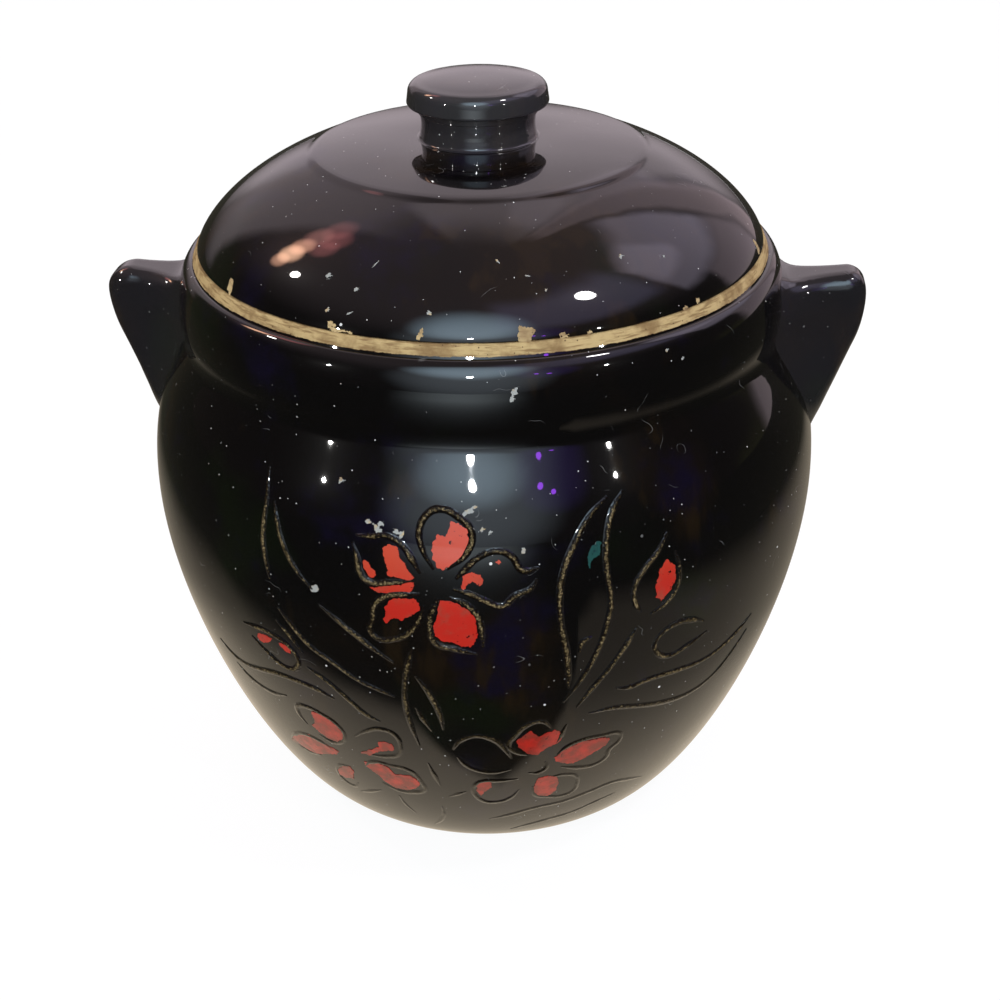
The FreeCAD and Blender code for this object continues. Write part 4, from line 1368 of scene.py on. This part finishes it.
# Tint of the table top close to the jar and farther off, where in metres it turns from the one into the
# other, and the middle of these rings
TABLE_NEAR = (0.70, 0.60, 0.46)
TABLE_FAR = (0.27, 0.235, 0.18)
TABLE_TURN = (0.085, 0.170)
TABLE_MIDDLE = Vector((-0.018, 0, 0))

# Light of the dark room behind the table, and of the haze on the floor straight in front of the jar
ROOM_DARK = (0.040, 0.038, 0.028)
HAZE = (1.4, 1.6, 1.7)

# Light of the room's walls low down and high up
ROOM_LOW = (0.050, 0.042, 0.034)
ROOM_HIGH = (0.34, 0.27, 0.28)

# How far the edges of windows and glows waver: lumps in millimetres on a ball of 1 m, and swing in radians
WAVER = (350, 0.16)

# Middle of the jar, where the lamps aim
LAMP_AIM = Vector((0, 0, 110)) * MM

# Lamps: degrees from +Y towards +X, degrees above the floor, distance, size in metres, light and tint
LAMPS = [
    (177, 23.5, 1.0, 0.036, 0.20, (0.93, 0.97, 1.0)),
    (129, 20.3, 1.2, 0.024, 0.09, (1.0, 0.99, 0.97)),
    (-133, 17.5, 1.2, 0.026, 0.14, (1.0, 0.98, 0.94)),
    (115, 56, 1.2, 0.13, 0.20, (1.0, 0.98, 0.97)),
    (-87, 43, 1.2, 0.07, 0.10, (1.0, 0.96, 0.92)),
    (154, 23.5, 1.2, 0.035, 0.0036, (0.36, 0.06, 1.0)),
    (150, 21.5, 1.2, 0.03, 0.0027, (0.36, 0.06, 1.0)),
]

# Bright shapes of the room that the glaze mirrors: from and to in degrees from +Y towards +X, from and to
# in degrees above the floor, softness in degrees across and up, and colour
WINDOWS = [
    (-30, 20, 2, 71, 8, 18, (0.86, 0.74, 0.81)),
    (-53, -30, 6, 60, 8, 22, (0.50, 0.42, 0.46)),
    (4, 22, 27, 66, 5, 6, (0.32, 0.27, 0.33)),
    (21, 30, -12, 70, 3, 8, (0.68, 0.53, 0.58)),
    (32, 78, 25, 56, 4, 8, (1.05, 0.93, 1.20)),
    (50, 76, 38, 56, 7, 7, (0.65, 0.58, 0.75)),
    (31, 62, -4, 24, 6, 8, (0.70, 0.56, 0.64)),
    (82, 165, 36, 64, 16, 12, (0.42, 0.40, 0.72)),
    (36, 80, -30, 2, 8, 8, (0.050, 0.055, 0.015)),
]

# Soft glows round a direction: azimuth, elevation, inner and outer degrees, and colour
GLOWS = [
    (178, 38, 3, 24, (2.3, 3.2, 3.9)),
    (177, 18, 4, 33, (0.95, 1.10, 1.25)),
    (149, 25, 1, 14, (0.14, 0.08, 0.50)),
    (-70, 37.5, 0.5, 4.2, (6.0, 3.1, 2.0)),
    (-67.5, 41, 0.5, 5.2, (11.0, 6.2, 4.0)),
    (-63.5, 44, 0.5, 4.6, (7.0, 3.4, 2.3)),
    (-57.5, 47, 0.5, 4.6, (2.4, 1.0, 0.9)),
    (-66, 50.5, 0.5, 5, (1.9, 0.6, 0.6)),
    (-60, 52.5, 0.5, 5, (1.7, 0.5, 0.5)),
    (-53, 51, 0.5, 5, (1.5, 0.5, 0.5)),
]


def direction(azimuth, elevation):
    """Unit vector at an angle from +Y towards +X and an angle above the floor."""
    a, e = math.radians(azimuth), math.radians(elevation)
    return Vector((math.sin(a) * math.cos(e), math.cos(a) * math.cos(e), math.sin(e)))


def add_floor(studio):
    """Wide pale floor that stays white for the camera and keeps the jar's shadow."""
    bm = bmesh.new()
    bmesh.ops.create_circle(bm, cap_ends=True, segments=96, radius=FLOOR_REACH)
    floor = finish_mesh(bm, "floor")
    material = bpy.data.materials.new("floor_white")
    material.use_nodes = True
    tree = material.node_tree
    tree.nodes.clear()
    path = add_node(tree, "ShaderNodeLightPath").outputs
    glossy = maths(tree, "MAXIMUM", path["Is Glossy Ray"], path["Is Transmission Ray"])
    seen = maths(tree, "MAXIMUM", path["Is Camera Ray"], glossy)
    paper = add_node(tree, "ShaderNodeBsdfDiffuse", {"Color": (*studio.floor_colour, 1)})
    white = add_node(tree, "ShaderNodeEmission", {"Color": (1, 1, 1, 1), "Strength": FLOOR_LIGHT})
    both = mixed_shader(tree, product(tree, seen, FLOOR_SHARE), paper, white)
    add_node(tree, "ShaderNodeOutputMaterial", {"Surface": both.outputs[0]})
    floor.data.materials.append(material)


def card_mesh():
    """Table top and the floor round it, with a shade from 0 to 1 over the table's soft edge."""
    bm = bmesh.new()
    shade = bm.verts.layers.float.new("shade")
    fades = bm.verts.layers.float.new("fade")
    ring = []
    for x, y, fade in TABLE_EDGE:
        edge = Vector((x, y, 0)) * MM
        v = bm.verts.new(edge - edge.normalized() * fade * MM / 2 + Vector((0, 0, 1 * MM)))
        v[fades] = fade * MM
        ring.append(v)
    edges = [bm.edges.new((ring[i - 1], ring[i])) for i in range(len(ring))]
    bmesh.ops.edgeloop_fill(bm, edges=edges)
    for far in (False, True):
        grown = bmesh.ops.extrude_edge_only(bm, edges=edges)["geom"]
        edges = [part for part in grown if isinstance(part, bmesh.types.BMEdge)]
        edges = [edge for edge in edges if all(v in grown for v in edge.verts)]
        for v in only_verts(grown):
            away = Vector((v.co.x, v.co.y, 0)).normalized()
            v[shade] = 1.0
            v.co = away * CARD_REACH + Vector((0, 0, v.co.z)) if far else v.co + away * v[fades]
    return finish_mesh(bm, "dark_card")


def card_material():
    """Clear warm table top, and the light of the room and its haze beyond the table."""
    material = bpy.data.materials.new("card_black")
    material.use_nodes = True
    tree = material.node_tree
    tree.nodes.clear()
    share = add_node(tree, "ShaderNodeAttribute", attribute_name="shade").outputs["Fac"]
    place = add_node(tree, "ShaderNodeTexCoord").outputs["Object"]
    aside = vector_maths(tree, "ADD", "Vector", place, -TABLE_MIDDLE)
    radius = vector_maths(tree, "LENGTH", "Value", aside)
    table = mixed(tree, spread(tree, radius, *TABLE_TURN), TABLE_NEAR, TABLE_FAR)
    clear = add_node(tree, "ShaderNodeBsdfTransparent", {"Color": table})
    where = apart(tree, place)
    far = spread(tree, where["Y"], -1.2, -0.2, 1.0, 0.0)
    slant = maths(tree, "ABSOLUTE", maths(tree, "DIVIDE", where["X"], where["Y"]))
    haze = product(tree, far, spread(tree, slant, 0.0, 0.5, 1.0, 0.0))
    dark = add_node(tree, "ShaderNodeEmission", {"Color": mixed(tree, haze, ROOM_DARK, HAZE)})
    both = mixed_shader(tree, spread(tree, share, 0.0, 1.0), clear, dark)
    add_node(tree, "ShaderNodeOutputMaterial", {"Surface": both.outputs[0]})
    return material


def add_card():
    """Table top and the dark room beyond its soft edge, seen only in the glaze."""
    card = card_mesh()
    card.visible_camera = False
    card.visible_diffuse = False
    card.visible_shadow = False
    card.visible_transmission = False
    card.data.materials.append(card_material())


def added(tree, total, share, tint):
    """Light so far plus a share of a tint."""
    return vector_maths(tree, "MULTIPLY_ADD", "Vector", share, tint, total)


def band(tree, value, first, last, soft):
    """1 between two angles and 0 outside, with soft ends, all in degrees."""
    ends = []
    for edge, sides in ((first, (0.0, 1.0)), (last, (1.0, 0.0))):
        low, high = (math.radians(edge + soft * half) for half in (-0.5, 0.5))
        ends.append(spread(tree, value, low, high, *sides))
    return product(tree, *ends)


def add_world(studio):
    """Dim room with a bright wall and window behind, mirrored by the glaze."""
    world = bpy.data.worlds.new("studio")
    bpy.context.scene.world = world
    world.use_nodes = True
    tree = world.node_tree
    tree.nodes.clear()
    where = add_node(tree, "ShaderNodeTexCoord").outputs["Generated"]
    parts = apart(tree, where)
    azimuth = maths(tree, "ARCTAN2", parts["X"], parts["Y"])
    elevation = maths(tree, "ARCSINE", parts["Z"])
    lump, waver = WAVER
    wavy = swing(tree, noise_at(tree, where, lump), waver)
    azimuth = maths(tree, "ADD", azimuth, wavy)
    elevation = maths(tree, "ADD", elevation, wavy)
    room = mixed(tree, spread(tree, parts["Z"], 0.30, 0.85), ROOM_LOW, ROOM_HIGH)
    for west, east, low, high, soft_across, soft_up, tint in WINDOWS:
        across = band(tree, azimuth, west, east, soft_across)
        up = band(tree, elevation, low, high, soft_up)
        room = added(tree, room, product(tree, across, up), tint)
    for azimuth_at, elevation_at, inner, outer, tint in GLOWS:
        near = vector_maths(tree, "DOT_PRODUCT", "Value", where, direction(azimuth_at, elevation_at))
        share = spread(tree, near, math.cos(math.radians(outer)), math.cos(math.radians(inner)))
        room = added(tree, room, share, tint)
    light = add_node(tree, "ShaderNodeBackground", {"Color": room, "Strength": studio.sky})
    white = add_node(tree, "ShaderNodeBackground", {"Color": (1, 1, 1, 1), "Strength": 1.0})
    seen = add_node(tree, "ShaderNodeLightPath").outputs["Is Camera Ray"]
    both = mixed_shader(tree, seen, light, white)
    add_node(tree, "ShaderNodeOutputWorld", {"Surface": both.outputs[0]})


def add_lamps(scene, studio):
    """Small round lamps that aim at the middle of the jar."""
    for i, (azimuth, elevation, distance, size, light, tint) in enumerate(LAMPS):
        lamp = bpy.data.lights.new(f"lamp_{i}", "AREA")
        lamp.shape = "DISK"
        lamp.size = size
        lamp.color = tint
        lamp.energy = light * math.pi * distance**2 * studio.key * math.pi
        holder = bpy.data.objects.new(lamp.name, lamp)
        holder.location = LAMP_AIM + direction(azimuth, elevation) * distance
        holder.rotation_euler = direction(azimuth, elevation).to_track_quat("Z", "Y").to_euler()
        scene.collection.objects.link(holder)


def add_camera(scene, studio):
    """Camera at the photograph's place, as the scene's camera."""
    camera = bpy.data.cameras.new("camera")
    camera.lens = studio.lens
    camera.sensor_width = 36
    camera.clip_start = 0.01
    camera.clip_end = 50
    holder = bpy.data.objects.new("camera", camera)
    holder.location = studio.camera_place
    holder.rotation_euler = studio.camera_turn
    scene.collection.objects.link(holder)
    scene.camera = holder


class SCENE_OT_jar_studio(bpy.types.Operator):
    """Set up the floor, the soft light, the lamps and the camera"""

    bl_idname = "scene.jar_studio"
    bl_label = "Studio"

    def execute(self, context):
        scene = context.scene
        studio = scene.jar_studio
        scene.view_settings.view_transform = "Standard"
        add_floor(studio)
        add_card()
        add_world(studio)
        add_lamps(scene, studio)
        add_camera(scene, studio)
        return {"FINISHED"}


OPERATORS = (
    SCENE_OT_jar_studio,
    MESH_OT_jar_wall,
    MESH_OT_jar_lid,
    MESH_OT_jar_knob,
    MESH_OT_jar_lugs,
    MESH_OT_jar_trails,
    MESH_OT_jar_paint,
    MESH_OT_jar_flaws,
)


class VIEW3D_PT_cookie_jar(bpy.types.Panel):
    """The jar's pieces and sizes"""

    bl_label = "Cookie jar"
    bl_space_type = "VIEW_3D"
    bl_region_type = "UI"
    bl_category = "Jar"

    def draw(self, context):
        for operator in OPERATORS:
            self.layout.operator(operator.bl_idname)
        for group in SETTINGS:
            for name in SETTINGS[group].__annotations__:
                self.layout.prop(getattr(context.scene, group), name)


SETTINGS = {
    "jar_sizes": JarSizes,
    "lid_sizes": LidSizes,
    "lug_sizes": LugSizes,
    "slip_sizes": SlipSizes,
    "jar_finishes": Finishes,
    "jar_studio": Studio,
}


def register():
    for cls in (*SETTINGS.values(), *OPERATORS, VIEW3D_PT_cookie_jar):
        bpy.utils.register_class(cls)
    for group, cls in SETTINGS.items():
        setattr(bpy.types.Scene, group, PointerProperty(type=cls))


def unregister():
    for group in SETTINGS:
        delattr(bpy.types.Scene, group)
    for cls in reversed((*SETTINGS.values(), *OPERATORS, VIEW3D_PT_cookie_jar)):
        bpy.utils.unregister_class(cls)


def main():
    register()
    for operator in OPERATORS:
        family, name = operator.bl_idname.split(".")
        getattr(getattr(bpy.ops, family), name)()


if __name__ == "__main__":
    main()
